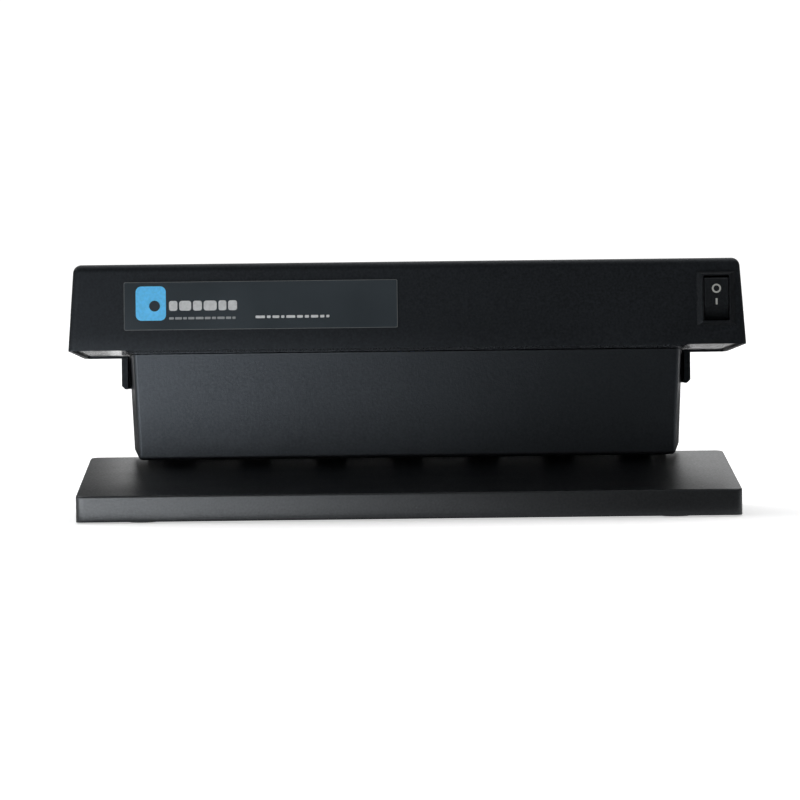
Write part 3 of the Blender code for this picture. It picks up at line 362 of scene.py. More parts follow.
class Paint:
    """A Principled material and the nodes that vary it."""

    def __init__(self, name, colour, roughness, metallic=0.0, **fixed):
        self.material, self.nodes, self.links = new_material(name)
        self.shader = self.nodes["Principled BSDF"]
        self.shader.inputs["Base Color"].default_value = (*colour, 1.0)
        self.shader.inputs["Roughness"].default_value = roughness
        self.shader.inputs["Metallic"].default_value = metallic
        for key, value in fixed.items():
            self.shader.inputs[key.replace("_", " ")].default_value = value
        self.place = self.nodes.new("ShaderNodeTexCoord")

    def noise(self, scale, detail=3.0, stretch=(1.0, 1.0, 1.0), distortion=0.0):
        spread = self.nodes.new("ShaderNodeMapping")
        spread.inputs["Scale"].default_value = stretch
        made = self.nodes.new("ShaderNodeTexNoise")
        made.inputs["Scale"].default_value = scale
        made.inputs["Detail"].default_value = detail
        made.inputs["Distortion"].default_value = distortion
        self.links.new(self.place.outputs["Object"], spread.inputs["Vector"])
        self.links.new(spread.outputs[0], made.inputs["Vector"])
        return made.outputs["Fac"]

    def ranged(self, value, low, high, to_low=0.0, to_high=1.0):
        return add_range(self.nodes, self.links, value, (low, high), (to_low, to_high))

    def math(self, operation, a, b):
        return add_math(self.nodes, self.links, operation, a, b)

    def mix(self, factor, a, b):
        made = self.nodes.new("ShaderNodeMix")
        made.data_type = "RGBA"
        self.links.new(factor, made.inputs["Factor"])
        for key, colour in (("A", a), ("B", b)):
            if isinstance(colour, tuple):
                made.inputs[key].default_value = (*colour, 1.0)
            else:
                self.links.new(colour, made.inputs[key])
        return made.outputs["Result"]

    def specks(self, scale, size):
        """1 in small scattered dots, 0 elsewhere."""
        cells = self.nodes.new("ShaderNodeTexVoronoi")
        cells.inputs["Scale"].default_value = scale
        self.links.new(self.place.outputs["Object"], cells.inputs["Vector"])
        near = self.ranged(cells.outputs["Distance"], size, size * 0.4)
        rare = self.ranged(self.noise(scale * 0.13, 2.0), 0.60, 0.70)
        return self.math("MULTIPLY", near, rare)

    def scratches(self, scale, stretch, width=0.012):
        """1 in thin lines along the axis that stretch leaves long."""
        lines = self.noise(scale, 2.0, stretch, 0.4)
        centre = self.math("ABSOLUTE", self.math("SUBTRACT", lines, 0.5), 0.0)
        thin = self.ranged(centre, width, 0.0)
        patchy = self.ranged(self.noise(35.0, 2.0), 0.52, 0.62)
        return self.math("MULTIPLY", thin, patchy)

    def colour(self, value):
        self.links.new(value, self.shader.inputs["Base Color"])

    def rough(self, value):
        self.links.new(value, self.shader.inputs["Roughness"])

    def bump(self, height, strength, distance):
        made = self.nodes.new("ShaderNodeBump")
        made.inputs["Strength"].default_value = strength
        made.inputs["Distance"].default_value = distance
        self.links.new(height, made.inputs["Height"])
        self.links.new(made.outputs[0], self.shader.inputs["Normal"])


def scaled(colour, factor):
    return tuple(c * factor for c in colour)


def moulded_black(name, colour, roughness, grain, bump, gloss=0.5, worn=0.5, tint=COOL):
    """Black plastic: eroded grain, faint flow marks, smudges, dust and fine scratches."""
    paint = Paint(name, colour, roughness, Specular_Tint=tint, Specular_IOR_Level=gloss)
    broad = paint.noise(22.0, 5.0)
    streaks = paint.noise(60.0, 4.0, (0.25, 1.0, 1.0))
    cloud = paint.math("ADD", paint.math("MULTIPLY", broad, 0.6), paint.math("MULTIPLY", streaks, 0.4))
    coarse = paint.math("MULTIPLY", paint.noise(grain * 0.4, 2.0), 1.6)
    fine = paint.math("ADD", paint.noise(grain, 3.0), coarse)
    dust = paint.specks(420.0, 0.16)
    lines = paint.scratches(900.0, (1.0, 0.06, 0.5))
    speckle = paint.noise(1150.0, 1.5)
    tone = paint.math("ADD", paint.math("MULTIPLY", cloud, 0.4), paint.math("MULTIPLY", speckle, 0.6))
    base = paint.mix(paint.ranged(tone, 0.36, 0.64), scaled(colour, 0.66), scaled(colour, 1.42))
    marked = paint.mix(paint.math("MULTIPLY", lines, worn * 0.35), base, scaled(colour, 3.0))
    paint.colour(paint.mix(paint.math("MULTIPLY", dust, worn * 0.6), marked, scaled(colour, 5.0)))
    even = paint.ranged(tone, 0.36, 0.64, roughness + 0.05, roughness - 0.05)
    paint.rough(paint.math("ADD", even, paint.math("MULTIPLY", dust, 0.2)))
    relief = paint.math("SUBTRACT", fine, paint.math("MULTIPLY", lines, 0.8 * worn))
    paint.bump(relief, bump, 0.00006)
    return paint.material


def make_label_film():
    colour = (0.026, 0.033, 0.038)
    paint = Paint("label_film", colour, 0.36, Specular_Tint=COOL, Specular_IOR_Level=0.25)
    cloud = paint.noise(40.0, 4.0)
    paint.colour(paint.mix(cloud, scaled(colour, 0.88), scaled(colour, 1.15)))
    paint.rough(paint.ranged(cloud, 0.3, 0.7, 0.28, 0.42))
    paint.bump(paint.noise(260.0, 2.0), 0.15, 0.00005)
    return paint.material


def make_print(name, colour):
    paint = Paint(name, colour, 0.45)
    patch = paint.noise(900.0, 2.0)
    paint.colour(paint.mix(paint.ranged(patch, 0.35, 0.65), scaled(colour, 0.86), scaled(colour, 1.0)))
    paint.rough(paint.ranged(patch, 0.3, 0.7, 0.38, 0.52))
    paint.bump(patch, 0.2, 0.00002)
    return paint.material


def make_rubber():
    colour = (0.016, 0.016, 0.016)
    paint = Paint("foot_rubber", colour, 0.85)
    grain = paint.noise(900.0, 4.0)
    paint.colour(paint.mix(paint.noise(60.0), scaled(colour, 0.8), scaled(colour, 1.6)))
    paint.rough(paint.ranged(grain, 0.3, 0.7, 0.75, 0.95))
    paint.bump(grain, 0.5, 0.0001)
    return paint.material


def make_metal(name, colour, roughness, stretch, spread=0.1, bump=0.1):
    """Metal with fine drawn lines along the axis that stretch leaves long, and dull patches."""
    paint = Paint(name, colour, roughness, 1.0)
    lines = paint.noise(1400.0, 3.0, stretch)
    patch = paint.noise(45.0, 4.0)
    paint.colour(paint.mix(paint.ranged(patch, 0.35, 0.7), scaled(colour, 0.86), colour))
    both = paint.math("ADD", paint.math("MULTIPLY", lines, 0.6), paint.math("MULTIPLY", patch, 0.4))
    paint.rough(paint.ranged(both, 0.3, 0.7, roughness - spread, roughness + spread))
    paint.bump(lines, bump, 0.00004)
    return paint.material


def make_uv_glass():
    """Near-black violet filter glass, smooth, with faint haze."""
    colour = (0.012, 0.006, 0.034)
    paint = Paint("uv_filter_glass", colour, 0.06, Coat_Weight=0.6, Coat_Roughness=0.03)
    haze = paint.noise(50.0, 5.0)
    paint.colour(paint.mix(haze, scaled(colour, 0.7), scaled(colour, 1.6)))
    paint.rough(paint.ranged(haze, 0.4, 0.7, 0.05, 0.16))
    return paint.material


def make_pale_plastic(name, colour, roughness=0.45):
    paint = Paint(name, colour, roughness, Subsurface_Weight=0.05, Subsurface_Scale=0.002)
    patch = paint.noise(70.0, 4.0)
    paint.colour(paint.mix(patch, scaled(colour, 0.93), colour))
    paint.rough(paint.ranged(patch, 0.3, 0.7, roughness - 0.06, roughness + 0.06))
    paint.bump(paint.noise(1200.0), 0.2, 0.00004)
    return paint.material


def make_lamination():
    """A stack of thin varnished sheets, seen as fine lines along X."""
    colour = (0.20, 0.20, 0.21)
    paint = Paint("core_lamination", colour, 0.45, 0.7)
    sheets = paint.nodes.new("ShaderNodeTexWave")
    sheets.bands_direction = "Z"
    sheets.inputs["Scale"].default_value = 320.0
    sheets.inputs["Distortion"].default_value = 0.4
    paint.links.new(paint.place.outputs["Object"], sheets.inputs["Vector"])
    paint.colour(paint.mix(sheets.outputs["Fac"], scaled(colour, 0.5), colour))
    paint.rough(paint.ranged(paint.noise(80.0), 0.3, 0.7, 0.35, 0.6))
    paint.bump(sheets.outputs["Fac"], 0.5, 0.0001)
    return paint.material


# Mesh building


def add_block(bm, low, high):
    size = [b - a for a, b in zip(low, high)]
    centre = [(a + b) / 2 for a, b in zip(low, high)]
    move = Matrix.Translation(centre) @ Matrix.Diagonal((*size, 1.0))
    return bmesh.ops.create_cube(bm, size=1.0, matrix=move)["verts"]


def add_rod(bm, start, end, radius, steps=32):
    start = Vector(start)
    span = Vector(end) - start
    turn = span.to_track_quat("Z", "Y").to_matrix().to_4x4()
    move = Matrix.Translation(start + span / 2) @ turn
    bmesh.ops.create_cone(
        bm, cap_ends=True, segments=steps, radius1=radius, radius2=radius, depth=span.length, matrix=move
    )


def shaped_block(corner, rounded, radius, segments):
    """A cube whose eight corners go where corner(sx, sy, sz) says, with some edges rounded."""
    bm = bmesh.new()
    bmesh.ops.create_cube(bm, size=2.0)
    signs = {v: tuple(round(c) for c in v.co) for v in bm.verts}
    edges = [e for e in bm.edges if rounded(signs[e.verts[0]], signs[e.verts[1]])]
    for vert, sign in signs.items():
        vert.co = corner(*sign)
    bmesh.ops.bevel(bm, geom=edges, offset=radius, segments=segments, profile=0.5, affect="EDGES")
    return bm


def open_side(bm, direction):
    bm.normal_update()
    face = max(bm.faces, key=lambda f: f.normal.dot(Vector(direction)) * f.calc_area())
    bmesh.ops.delete(bm, geom=[face], context="FACES_ONLY")


def rounded_outline(points, radius, steps=6):
    """The outline with each corner eased by an arc of radius, or of radius[i]."""
    eased = []
    count = len(points)
    for i, corner in enumerate(points):
        corner = Vector(corner)
        bend = radius[i] if isinstance(radius, (list, tuple)) else radius
        before = (Vector(points[i - 1]) - corner).normalized()
        after = (Vector(points[(i + 1) % count]) - corner).normalized()
        half = before.angle(after) / 2
        reach = bend / math.tan(half)
        centre = corner + (before + after).normalized() * (bend / math.sin(half))
        start = corner + before * reach - centre
        end = corner + after * reach - centre
        for step in range(steps + 1):
            eased.append(centre + start.normalized().slerp(end.normalized(), step / steps) * bend)
    return [tuple(p) for p in eased]


def box_outline(low, high):
    return [(low[0], low[1]), (high[0], low[1]), (high[0], high[1]), (low[0], high[1])]


def circle_outline(centre, radius, steps=48):
    turns = [2 * math.pi * i / steps for i in range(steps)]
    return [(centre[0] + radius * math.cos(a), centre[1] + radius * math.sin(a)) for a in turns]


TO_AXIS = {
    "X": lambda a, b, c: (c, a, b),
    "Y": lambda a, b, c: (a, c, b),
    "Z": lambda a, b, c: (a, b, c),
}


def add_outline(bm, outline, low, high, axis):
    """The outline as a solid from low to high along axis."""
    put = TO_AXIS[axis]
    face = bm.faces.new([bm.verts.new(put(a, b, low)) for a, b in outline])
    pushed = bmesh.ops.extrude_face_region(bm, geom=[face])["geom"]
    moved = [item for item in pushed if isinstance(item, bmesh.types.BMVert)]
    bmesh.ops.translate(bm, verts=moved, vec=put(0, 0, high - low))


def add_turned(bm, profile, steps=48):
    """A profile of (radius, height) from the top of the axis to its foot, turned about Z."""
    verts = [bm.verts.new((r, 0.0, z)) for r, z in profile]
    edges = [bm.edges.new(pair) for pair in zip(verts, verts[1:])]
    turn = {"axis": (0, 0, 1), "cent": (0, 0, 0), "angle": 2 * math.pi, "use_merge": True}
    bmesh.ops.spin(bm, geom=verts + edges, steps=steps, **turn)
    bmesh.ops.remove_doubles(bm, verts=bm.verts, dist=1e-6)


def tool_mesh(bm, name):
    bmesh.ops.recalc_face_normals(bm, faces=bm.faces)
    return mesh_from(bm, name)


def settle(obj):
    """Turns the object's modifiers into its mesh."""
    bpy.context.view_layer.update()
    graph = bpy.context.evaluated_depsgraph_get()
    made = bpy.data.meshes.new_from_object(obj.evaluated_get(graph))
    obj.modifiers.clear()
    obj.data = made


def combine(obj, bm, operation="DIFFERENCE"):
    tool = link(bpy.data.objects.new("tool", tool_mesh(bm, "tool")))
    step = obj.modifiers.new("tool", "BOOLEAN")
    step.operation = operation
    step.object = tool
    settle(obj)
    bpy.data.objects.remove(tool, do_unlink=True)


def thicken(obj, thickness):
    shell = obj.modifiers.new("wall", "SOLIDIFY")
    shell.thickness = thickness
    shell.offset = -1.0
    shell.use_even_offset = True
    settle(obj)


def round_edges(obj, width, segments=3, angle=32.0):
    """Breaks the sharp edges and evens the shading of the faces between them."""
    obj.data.shade_smooth()
    edge = obj.modifiers.new("edges", "BEVEL")
    edge.width = width
    edge.segments = segments
    edge.limit_method = "ANGLE"
    edge.angle_limit = math.radians(angle)
    edge.miter_outer = "MITER_ARC"
    even = obj.modifiers.new("shading", "WEIGHTED_NORMAL")
    even.weight = 100
    even.keep_sharp = True


def start_piece(name, bm):
    return link(bpy.data.objects.new(name, tool_mesh(bm, name)))


def hand_over(piece, material, slot, body, *nodes):
    """Gives a new piece its finish and its body, and hides the CAD nodes that it stands for."""
    piece.data.materials.clear()
    piece.data.materials.append(material)
    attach(piece, body)
    if nodes:
        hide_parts(*nodes)
    return piece


# Head

head_low, head_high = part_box("head_cover")
head_top = head_high.z


def rim_height(y):
    return RIM_FRONT - (y - head_low.y) * UNDERSIDE_SLOPE


def face_y(z):
    """Front face of the head at height z."""
    return head_low.y + (z - RIM_FRONT) * DRAFT


def face_frame(x, z):
    """A frame on the head's front face, with its -Y along the face's outward normal."""
    return Matrix.Translation((x, face_y(z), z)) @ Matrix.Rotation(-LEAN, 4, "X")


def label_frame():
    low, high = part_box("label_sticker")
    centre = (low + high) / 2
    half = ((high.x - low.x) / 2, (high.z - low.z) / 2 / math.cos(LEAN))
    return face_frame(centre.x, centre.z), half


LABEL_FRAME, LABEL_HALF = label_frame()


def head_corner(sx, sy, sz):
    z = head_top if sz > 0 else rim_height(head_low.y if sy < 0 else head_high.y)
    y = face_y(z) if sy < 0 else head_high.y - (z - rim_height(head_high.y)) * DRAFT
    return (sx * (HEAD_HALF - (z - RIM_FRONT) * DRAFT), y, z)


def screw_spots(prefix):
    """Centres of the CAD screws whose names start with prefix."""
    found = sorted(name for name in NODES if name.startswith(prefix))
    boxes = [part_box(name) for name in found]
    return [((low + high) / 2, name) for name, (low, high) in zip(found, boxes)]


def add_posts(bm, prefix, low, high, radius):
    """An upright rod at each of these screws, between two heights that may depend on y."""
    for spot, _ in screw_spots(prefix):
        ends = [(spot.x, spot.y, z(spot.y) if callable(z) else z) for z in (low, high)]
        add_rod(bm, *ends, radius)


def add_mating_step(cover):
    """A shallow step round the inside of the rim, where the pan seats."""
    bm = bmesh.new()
    reach = (HEAD_HALF - WALL * 0.55, head_high.y - WALL * 0.55)
    verts = add_block(bm, (-reach[0], -reach[1], -1.0), (reach[0], reach[1], 1.0))
    for vert in verts:
        lift = 0.0012 if vert.co.z > 0 else -0.004
        vert.co.z = rim_height(vert.co.y) + lift
    combine(cover, bm)


def curl_rim(bm):
    """The lowest strip of the front face curls in a little towards the rim."""
    for step in range(CURL_STEPS):
        z = CURL_TOP - (CURL_TOP - RIM_FRONT) * step / CURL_STEPS
        geom = list(bm.verts) + list(bm.edges) + list(bm.faces)
        bmesh.ops.bisect_plane(bm, geom=geom, plane_co=(0, 0, z), plane_no=(0, 0, 1))
    for vert in bm.verts:
        if vert.co.y < face_y(head_top) + HEAD_CORNER and vert.co.z < CURL_TOP:
            vert.co.y += CURL_DEPTH * ((CURL_TOP - vert.co.z) / (CURL_TOP - RIM_FRONT)) ** 2


def make_head_cover(material):
    bm = shaped_block(head_corner, lambda a, b: a[2] > 0 or b[2] > 0, HEAD_CORNER, 8)
    curl_rim(bm)
    open_side(bm, (0, 0, -1))
    cover = start_piece("head_cover_moulding", bm)
    thicken(cover, WALL)
    pan_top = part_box("head_pan")[1].z
    bm = bmesh.new()
    add_posts(bm, "pan_screw", lambda y: rim_height(y) + PAN_TO_BOSS, head_top - WALL / 2, BOSS_RADIUS)
    combine(cover, bm, "UNION")
    bm = bmesh.new()
    add_posts(bm, "pan_screw", rim_height, pan_top + PAN_BORE_DEPTH, BORE_RADIUS)
    combine(cover, bm)
    width, height = SNAP_HALF
    bm = bmesh.new()
    add_block(bm, (-width, -0.004, -height), (width, 0.006, height))
    bmesh.ops.transform(bm, matrix=SWITCH_FRAME, verts=bm.verts)
    combine(cover, bm)
    add_mating_step(cover)
    round_edges(cover, 0.00028)
    hand_over(cover, material, "case_plastic", "case", "head_cover")


# Column

column_low, column_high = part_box("column_shell")
base_low, base_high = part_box("base_plate")


def bed_height(y):
    return BED_FRONT + (y - base_low.y) * BED_SLOPE


def column_corner(sx, sy, sz):
    """The face leans back a little towards its top, and the sides flare to the back."""
    if sy > 0:
        y = COLUMN_BACK
    else:
        y = column_low.y + (0.0 if sz > 0 else COLUMN_LEAN)
    half = column_high.x - (0.0 if sz > 0 else COLUMN_TAPER) - (0.0 if sy > 0 else COLUMN_FLARE)
    z = rim_height(y) + COLUMN_TOP_GAP if sz > 0 else bed_height(y) + COLUMN_FOOT_GAP
    return (sx * half, y, z)


def column_rounded(a, b):
    """The front's two upright edges and its foot, and the foot of both sides."""
    front_upright = a[1] < 0 and b[1] < 0 and a[2] != b[2]
    foot = a[2] < 0 and b[2] < 0 and not (a[1] > 0 and b[1] > 0)
    return front_upright or foot


def make_column(material):
    bm = shaped_block(column_corner, column_rounded, COLUMN_EDGE, 8)
    open_side(bm, (0, 1, 0))
    column = start_piece("column_moulding", bm)
    thicken(column, COLUMN_WALL)
    bm = bmesh.new()
    for spot, _ in screw_spots("rear_cover_screw"):
        start = (spot.x, column_low.y + COLUMN_LEAN + 0.0005, spot.z)
        add_rod(bm, start, (spot.x, COLUMN_BACK - GAP, spot.z), BOSS_RADIUS)
    combine(column, bm, "UNION")
    bm = bmesh.new()
    add_posts(bm, "neck_screw", NECK_BOSS_FOOT, lambda y: rim_height(y) - 0.0005, BOSS_RADIUS)
    foot = COLUMN_FOOT_GAP + 0.001
    add_posts(bm, "column_screw", lambda y: bed_height(y) + foot, BASE_BOSS_TOP, BOSS_RADIUS)
    combine(column, bm, "UNION")
    bm = bmesh.new()
    for spot, _ in screw_spots("rear_cover_screw"):
        add_rod(bm, (spot.x, 0.034, spot.z), (spot.x, COLUMN_BACK + 0.002, spot.z), BORE_RADIUS)
    add_posts(bm, "neck_screw", NECK_BOSS_FOOT + 0.0015, 0.070, BORE_RADIUS)
    add_posts(bm, "column_screw", 0.015, BASE_BOSS_TOP - 0.002, BORE_RADIUS)
    add_block(bm, (*CABLE_PASS[0], 0.055), (*CABLE_PASS[1], 0.070))
    combine(column, bm)
    round_edges(column, 0.00022)
    hand_over(column, material, "case_plastic", "case", "column_shell")


def make_rear_cover(material):
    low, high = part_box("column_rear_cover")
    back, front = high.y, COLUMN_BACK + GAP
    top = rim_height(back) + COLUMN_TOP_GAP - COVER_INSET
    foot = bed_height(back) + COLUMN_FOOT_GAP + COVER_INSET
    half_top, half_foot = column_high.x - 0.0001, column_high.x - COLUMN_TAPER - 0.0001
    corners = [(-half_foot, foot), (half_foot, foot), (half_top, top), (-half_top, top)]
    bm = bmesh.new()
    add_outline(bm, rounded_outline(corners, COVER_CORNER), front, back, "Y")
    cover = start_piece("rear_cover_moulding", bm)
    for sign in (-1, 1):
        plan = [
            (sign * LUG_ROOT, front),
            (sign * LUG_INNER, front),
            (sign * LUG_INNER, low.y),
            (sign * high.x, low.y),
            (sign * high.x, back),
            (sign * LUG_ROOT, back),
        ]
        bm = bmesh.new()
        add_outline(bm, plan, LUG_FOOT, RIM_FRONT, "Z")
        for vert in bm.verts:
            if vert.co.z > (LUG_FOOT + RIM_FRONT) / 2:
                vert.co.z = rim_height(vert.co.y) - GAP
        combine(cover, bm, "UNION")
        over = LUG_CHAMFER + 0.001
        corner = [
            (sign * (high.x - over), LUG_FOOT - 0.001),
            (sign * (high.x + 0.001), LUG_FOOT - 0.001),
            (sign * (high.x + 0.001), LUG_FOOT + over),
        ]
        bm = bmesh.new()
        add_outline(bm, corner, low.y - 0.002, back + 0.002, "Y")
        combine(cover, bm)
    bm = bmesh.new()
    for spot, _ in screw_spots("rear_cover_screw"):
        add_rod(bm, (spot.x, front - 0.002, spot.z), (spot.x, back + 0.002, spot.z), BORE_RADIUS)
    gland_low, gland_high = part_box("cord_gland")
    gland = (gland_low + gland_high) / 2
    add_rod(bm, (gland.x, front - 0.002, gland.z), (gland.x, back + 0.002, gland.z), GLAND_BORE, 48)
    for side in (-1, 1):
        for i in range(VENT_COUNT):
            x = side * VENT_CENTRE + (i - (VENT_COUNT - 1) / 2) * VENT_PITCH
            slot = box_outline((x - VENT_HALF, VENT_FOOT), (x + VENT_HALF, VENT_TOP))
            add_outline(bm, rounded_outline(slot, VENT_HALF * 0.96), front - 0.002, back + 0.002, "Y")
    combine(cover, bm)
    round_edges(cover, 0.00035)
    hand_over(cover, material, "case_plastic", "case", "column_rear_cover")


# Base


def base_corner(sx, sy, sz):
    y = base_low.y if sy < 0 else base_high.y
    return (sx * base_high.x, y, bed_height(y) if sz > 0 else base_low.z)


def hollow_corner(sx, sy, sz):
    y = base_low.y + WALL if sy < 0 else base_high.y - WALL
    return (sx * (base_high.x - WALL), y, bed_height(y) - WALL if sz > 0 else base_low.z - 0.002)


def is_upright(a, b):
    return a[2] != b[2]


def stand_on_bed(bm, height):
    """Sets solids that run from z = 0 to 1 on the bed, rooted in its skin."""
    for vert in bm.verts:
        lift = height if vert.co.z > 0.5 else -0.001
        vert.co.z = bed_height(vert.co.y) + lift
    return bm


def pads():
    """The small blocks on the bed that the column stands on."""
    bm = bmesh.new()
    front, back = PAD_REACH
    for i in range(PAD_COUNT):
        x = (i - (PAD_COUNT - 1) / 2) * PAD_PITCH
        corners = box_outline((x - PAD_WIDTH / 2, front), (x + PAD_WIDTH / 2, back))
        add_outline(bm, rounded_outline(corners, 0.0012), 0.0, 1.0, "Z")
    return stand_on_bed(bm, PAD_HEIGHT)


def rear_rib():
    """The low rib behind the pads, which closes the gap under the column."""
    bm = bmesh.new()
    add_block(bm, (-RIB_HALF, RIB_REACH[0], 0.0), (RIB_HALF, RIB_REACH[1], 1.0))
    return stand_on_bed(bm, RIB_HEIGHT)


def make_base(material):
    bm = shaped_block(base_corner, is_upright, BASE_CORNER, 10)
    top = max(bm.faces, key=lambda f: f.calc_center_median().z)
    bmesh.ops.bevel(bm, geom=list(top.edges), offset=BED_EDGE, segments=4, profile=0.5, affect="EDGES")
    base = start_piece("base_moulding", bm)
    combine(base, shaped_block(hollow_corner, is_upright, 0.0012, 4))
    combine(base, pads(), "UNION")
    combine(base, rear_rib(), "UNION")
    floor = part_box("bottom_plate")[1].z + GAP
    bm = bmesh.new()
    add_posts(bm, "bottom_plate_screw", floor, lambda y: bed_height(y) - WALL / 2, BOSS_RADIUS)
    combine(base, bm, "UNION")
    bm = bmesh.new()
    add_posts(bm, "bottom_plate_screw", 0.002, floor + 0.0035, BORE_RADIUS)
    add_posts(bm, "column_screw", 0.010, 0.030, BORE_RADIUS)
    combine(base, bm)
    round_edges(base, 0.0002)
    hand_over(base, material, "bed_plastic", "case", "base_plate")


def make_feet(material):
    """Moulded rubber feet: a coved side and a dished tread."""
    for name in [n for n in NODES if n.startswith("foot_")]:
        low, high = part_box(name)
        radius, height = (high.x - low.x) / 2, high.z - low.z
        profile = [
            (0.0, height),
            (radius, height),
            (radius, height * 0.78),
            (radius - 0.0003, height * 0.45),
            (radius - 0.0004, 0.0004),
            (radius - 0.0006, 0.0001),
            (radius - 0.0010, 0.0),
            (radius * 0.55, 0.0),
            (radius * 0.50, 0.0003),
            (0.0, 0.0005),
        ]
        bm = bmesh.new()
        add_turned(bm, profile)
        bmesh.ops.translate(bm, verts=bm.verts, vec=((low.x + high.x) / 2, (low.y + high.y) / 2, low.z))
        foot = start_piece(name + "_rubber", bm)
        round_edges(foot, 0.0001, 2, 40.0)
        hand_over(foot, material, "foot_rubber", "case", name)


# Switch


def make_bezel(material):
    """The switch's housing: a bevelled frame, the snap-in body and the well for the rocker."""
    (width, height), proud = BEZEL_HALF, BEZEL_PROUD
    bm = bmesh.new()
    corners = box_outline((-width, -height), (width, height))
    add_outline(bm, rounded_outline(corners, 0.0004, 4), -proud, -0.00004, "Y")
    inner = ((WELL_HALF[0] + 0.0006) / width, (WELL_HALF[1] + 0.0006) / height)
    for vert in bm.verts:
        if vert.co.y < -proud / 2:
            vert.co.x *= inner[0]
            vert.co.z *= inner[1]
    housing = start_piece("switch_bezel", bm)
    width, height = SNAP_HALF[0] - GAP, SNAP_HALF[1] - GAP
    bm = bmesh.new()
    add_block(bm, (-width, -0.001, -height), (width, SNAP_DEPTH, height))
    combine(housing, bm, "UNION")
    bm = bmesh.new()
    back = SNAP_DEPTH - SWITCH_BACK
    well = box_outline((-WELL_HALF[0], -WELL_HALF[1]), (WELL_HALF[0], WELL_HALF[1]))
    add_outline(bm, rounded_outline(well, 0.0003, 3), -0.004, back, "Y")
    combine(housing, bm)
    bm = bmesh.new()
    radius, reach = STUB_BORE
    add_rod(bm, (-reach, ROCKER_PIVOT, 0), (reach, ROCKER_PIVOT, 0), radius)
    combine(housing, bm)
    width, height = TERMINAL_SLOT
    bm = bmesh.new()
    for name in ("switch_terminal_line", "switch_terminal_load"):
        low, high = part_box(name)
        z = (SWITCH_FRAME.inverted() @ ((low + high) / 2)).z
        add_block(bm, (-width, back - 0.0017, z - height), (width, SNAP_DEPTH + 0.003, z + height))
    combine(housing, bm)
    housing.data.transform(SWITCH_FRAME)
    round_edges(housing, 0.00012, 2)
    hand_over(housing, material, "switch_plastic", "case", "switch_housing")


def make_rocker(material):
    """The paddle, its two stubs and the plunger's well, resting with its lower end pressed in."""
    outline = rounded_outline([(y, z) for y, z, _ in ROCKER_SIDE], [bend for *_, bend in ROCKER_SIDE], 4)
    half = WELL_HALF[0] - GAP
    bm = bmesh.new()
    add_outline(bm, outline, -half, half, "X")
    rocker = start_piece("rocker_paddle", bm)
    bm = bmesh.new()
    reach = SNAP_HALF[0] - GAP - 0.0002
    add_rod(bm, (-reach, 0, 0), (reach, 0, 0), STUB_RADIUS)
    combine(rocker, bm, "UNION")
    bm = bmesh.new()
    radius, start, end = PLUNGER_WELL
    add_rod(bm, (0, start, 0), (0, end, 0), radius)
    bmesh.ops.rotate(bm, verts=bm.verts, matrix=Matrix.Rotation(PLUNGER_TILT, 3, "X"))
    combine(rocker, bm)
    rocker.data.transform(PIVOT_FRAME)
    round_edges(rocker, 0.00015, 3)
    hand_over(rocker, material, "switch_plastic", "rocker", "switch_rocker")


def make_switch_marks(material):
    """The O and I of a mains switch, printed on the rocker's upper face."""
    (top_y, top_z, _), (ridge_y, ridge_z, _) = ROCKER_SIDE[:2]
    slope = (ridge_y - top_y) / (top_z - ridge_z)
    ring = bmesh.new()
    add_outline(ring, circle_outline((0.0, O_CENTRE), O_RADIUS), -PRINT_HALF, PRINT_HALF, "Y")
    mark_o = start_piece("mark_off", ring)
    bm = bmesh.new()
    add_outline(bm, circle_outline((0.0, O_CENTRE), O_RADIUS - O_STROKE), -0.001, 0.001, "Y")
    combine(mark_o, bm)
    bm = bmesh.new()
    bar = box_outline((-I_HALF[0], I_CENTRE - I_HALF[1]), (I_HALF[0], I_CENTRE + I_HALF[1]))
    add_outline(bm, rounded_outline(bar, I_HALF[0] * 0.4), -PRINT_HALF, PRINT_HALF, "Y")
    mark_i = start_piece("mark_on", bm)
    for mark in (mark_o, mark_i):
        for vert in mark.data.vertices:
            vert.co.y += top_y + slope * (top_z - vert.co.z)
        mark.data.transform(PIVOT_FRAME)
        hand_over(mark, material, "switch_plastic", "rocker")


# Label


def label_piece(name, outline, low, high, holes=()):
    bm = bmesh.new()
    add_outline(bm, outline, low, high, "Y")
    made = start_piece(name, bm)
    for hole in holes:
        bm = bmesh.new()
        add_outline(bm, hole, low - 0.001, high + 0.001, "Y")
        combine(made, bm)
    made.data.transform(LABEL_FRAME)
    return made


def bar_row(name, row, material):
    """Short bars in a row, where a label would carry words."""
    x, z, height, space, widths = row
    bm = bmesh.new()
    for width in [w * MM for w in widths]:
        bar = box_outline((x, z - height / 2), (x + width, z + height / 2))
        add_outline(bm, rounded_outline(bar, min(width, height) * 0.25, 3), PRINT_FRONT, FILM_FRONT, "Y")
        x += width + space
    bars = start_piece(name, bm)
    bars.data.transform(LABEL_FRAME)
    hand_over(bars, material, "label_film", "case")


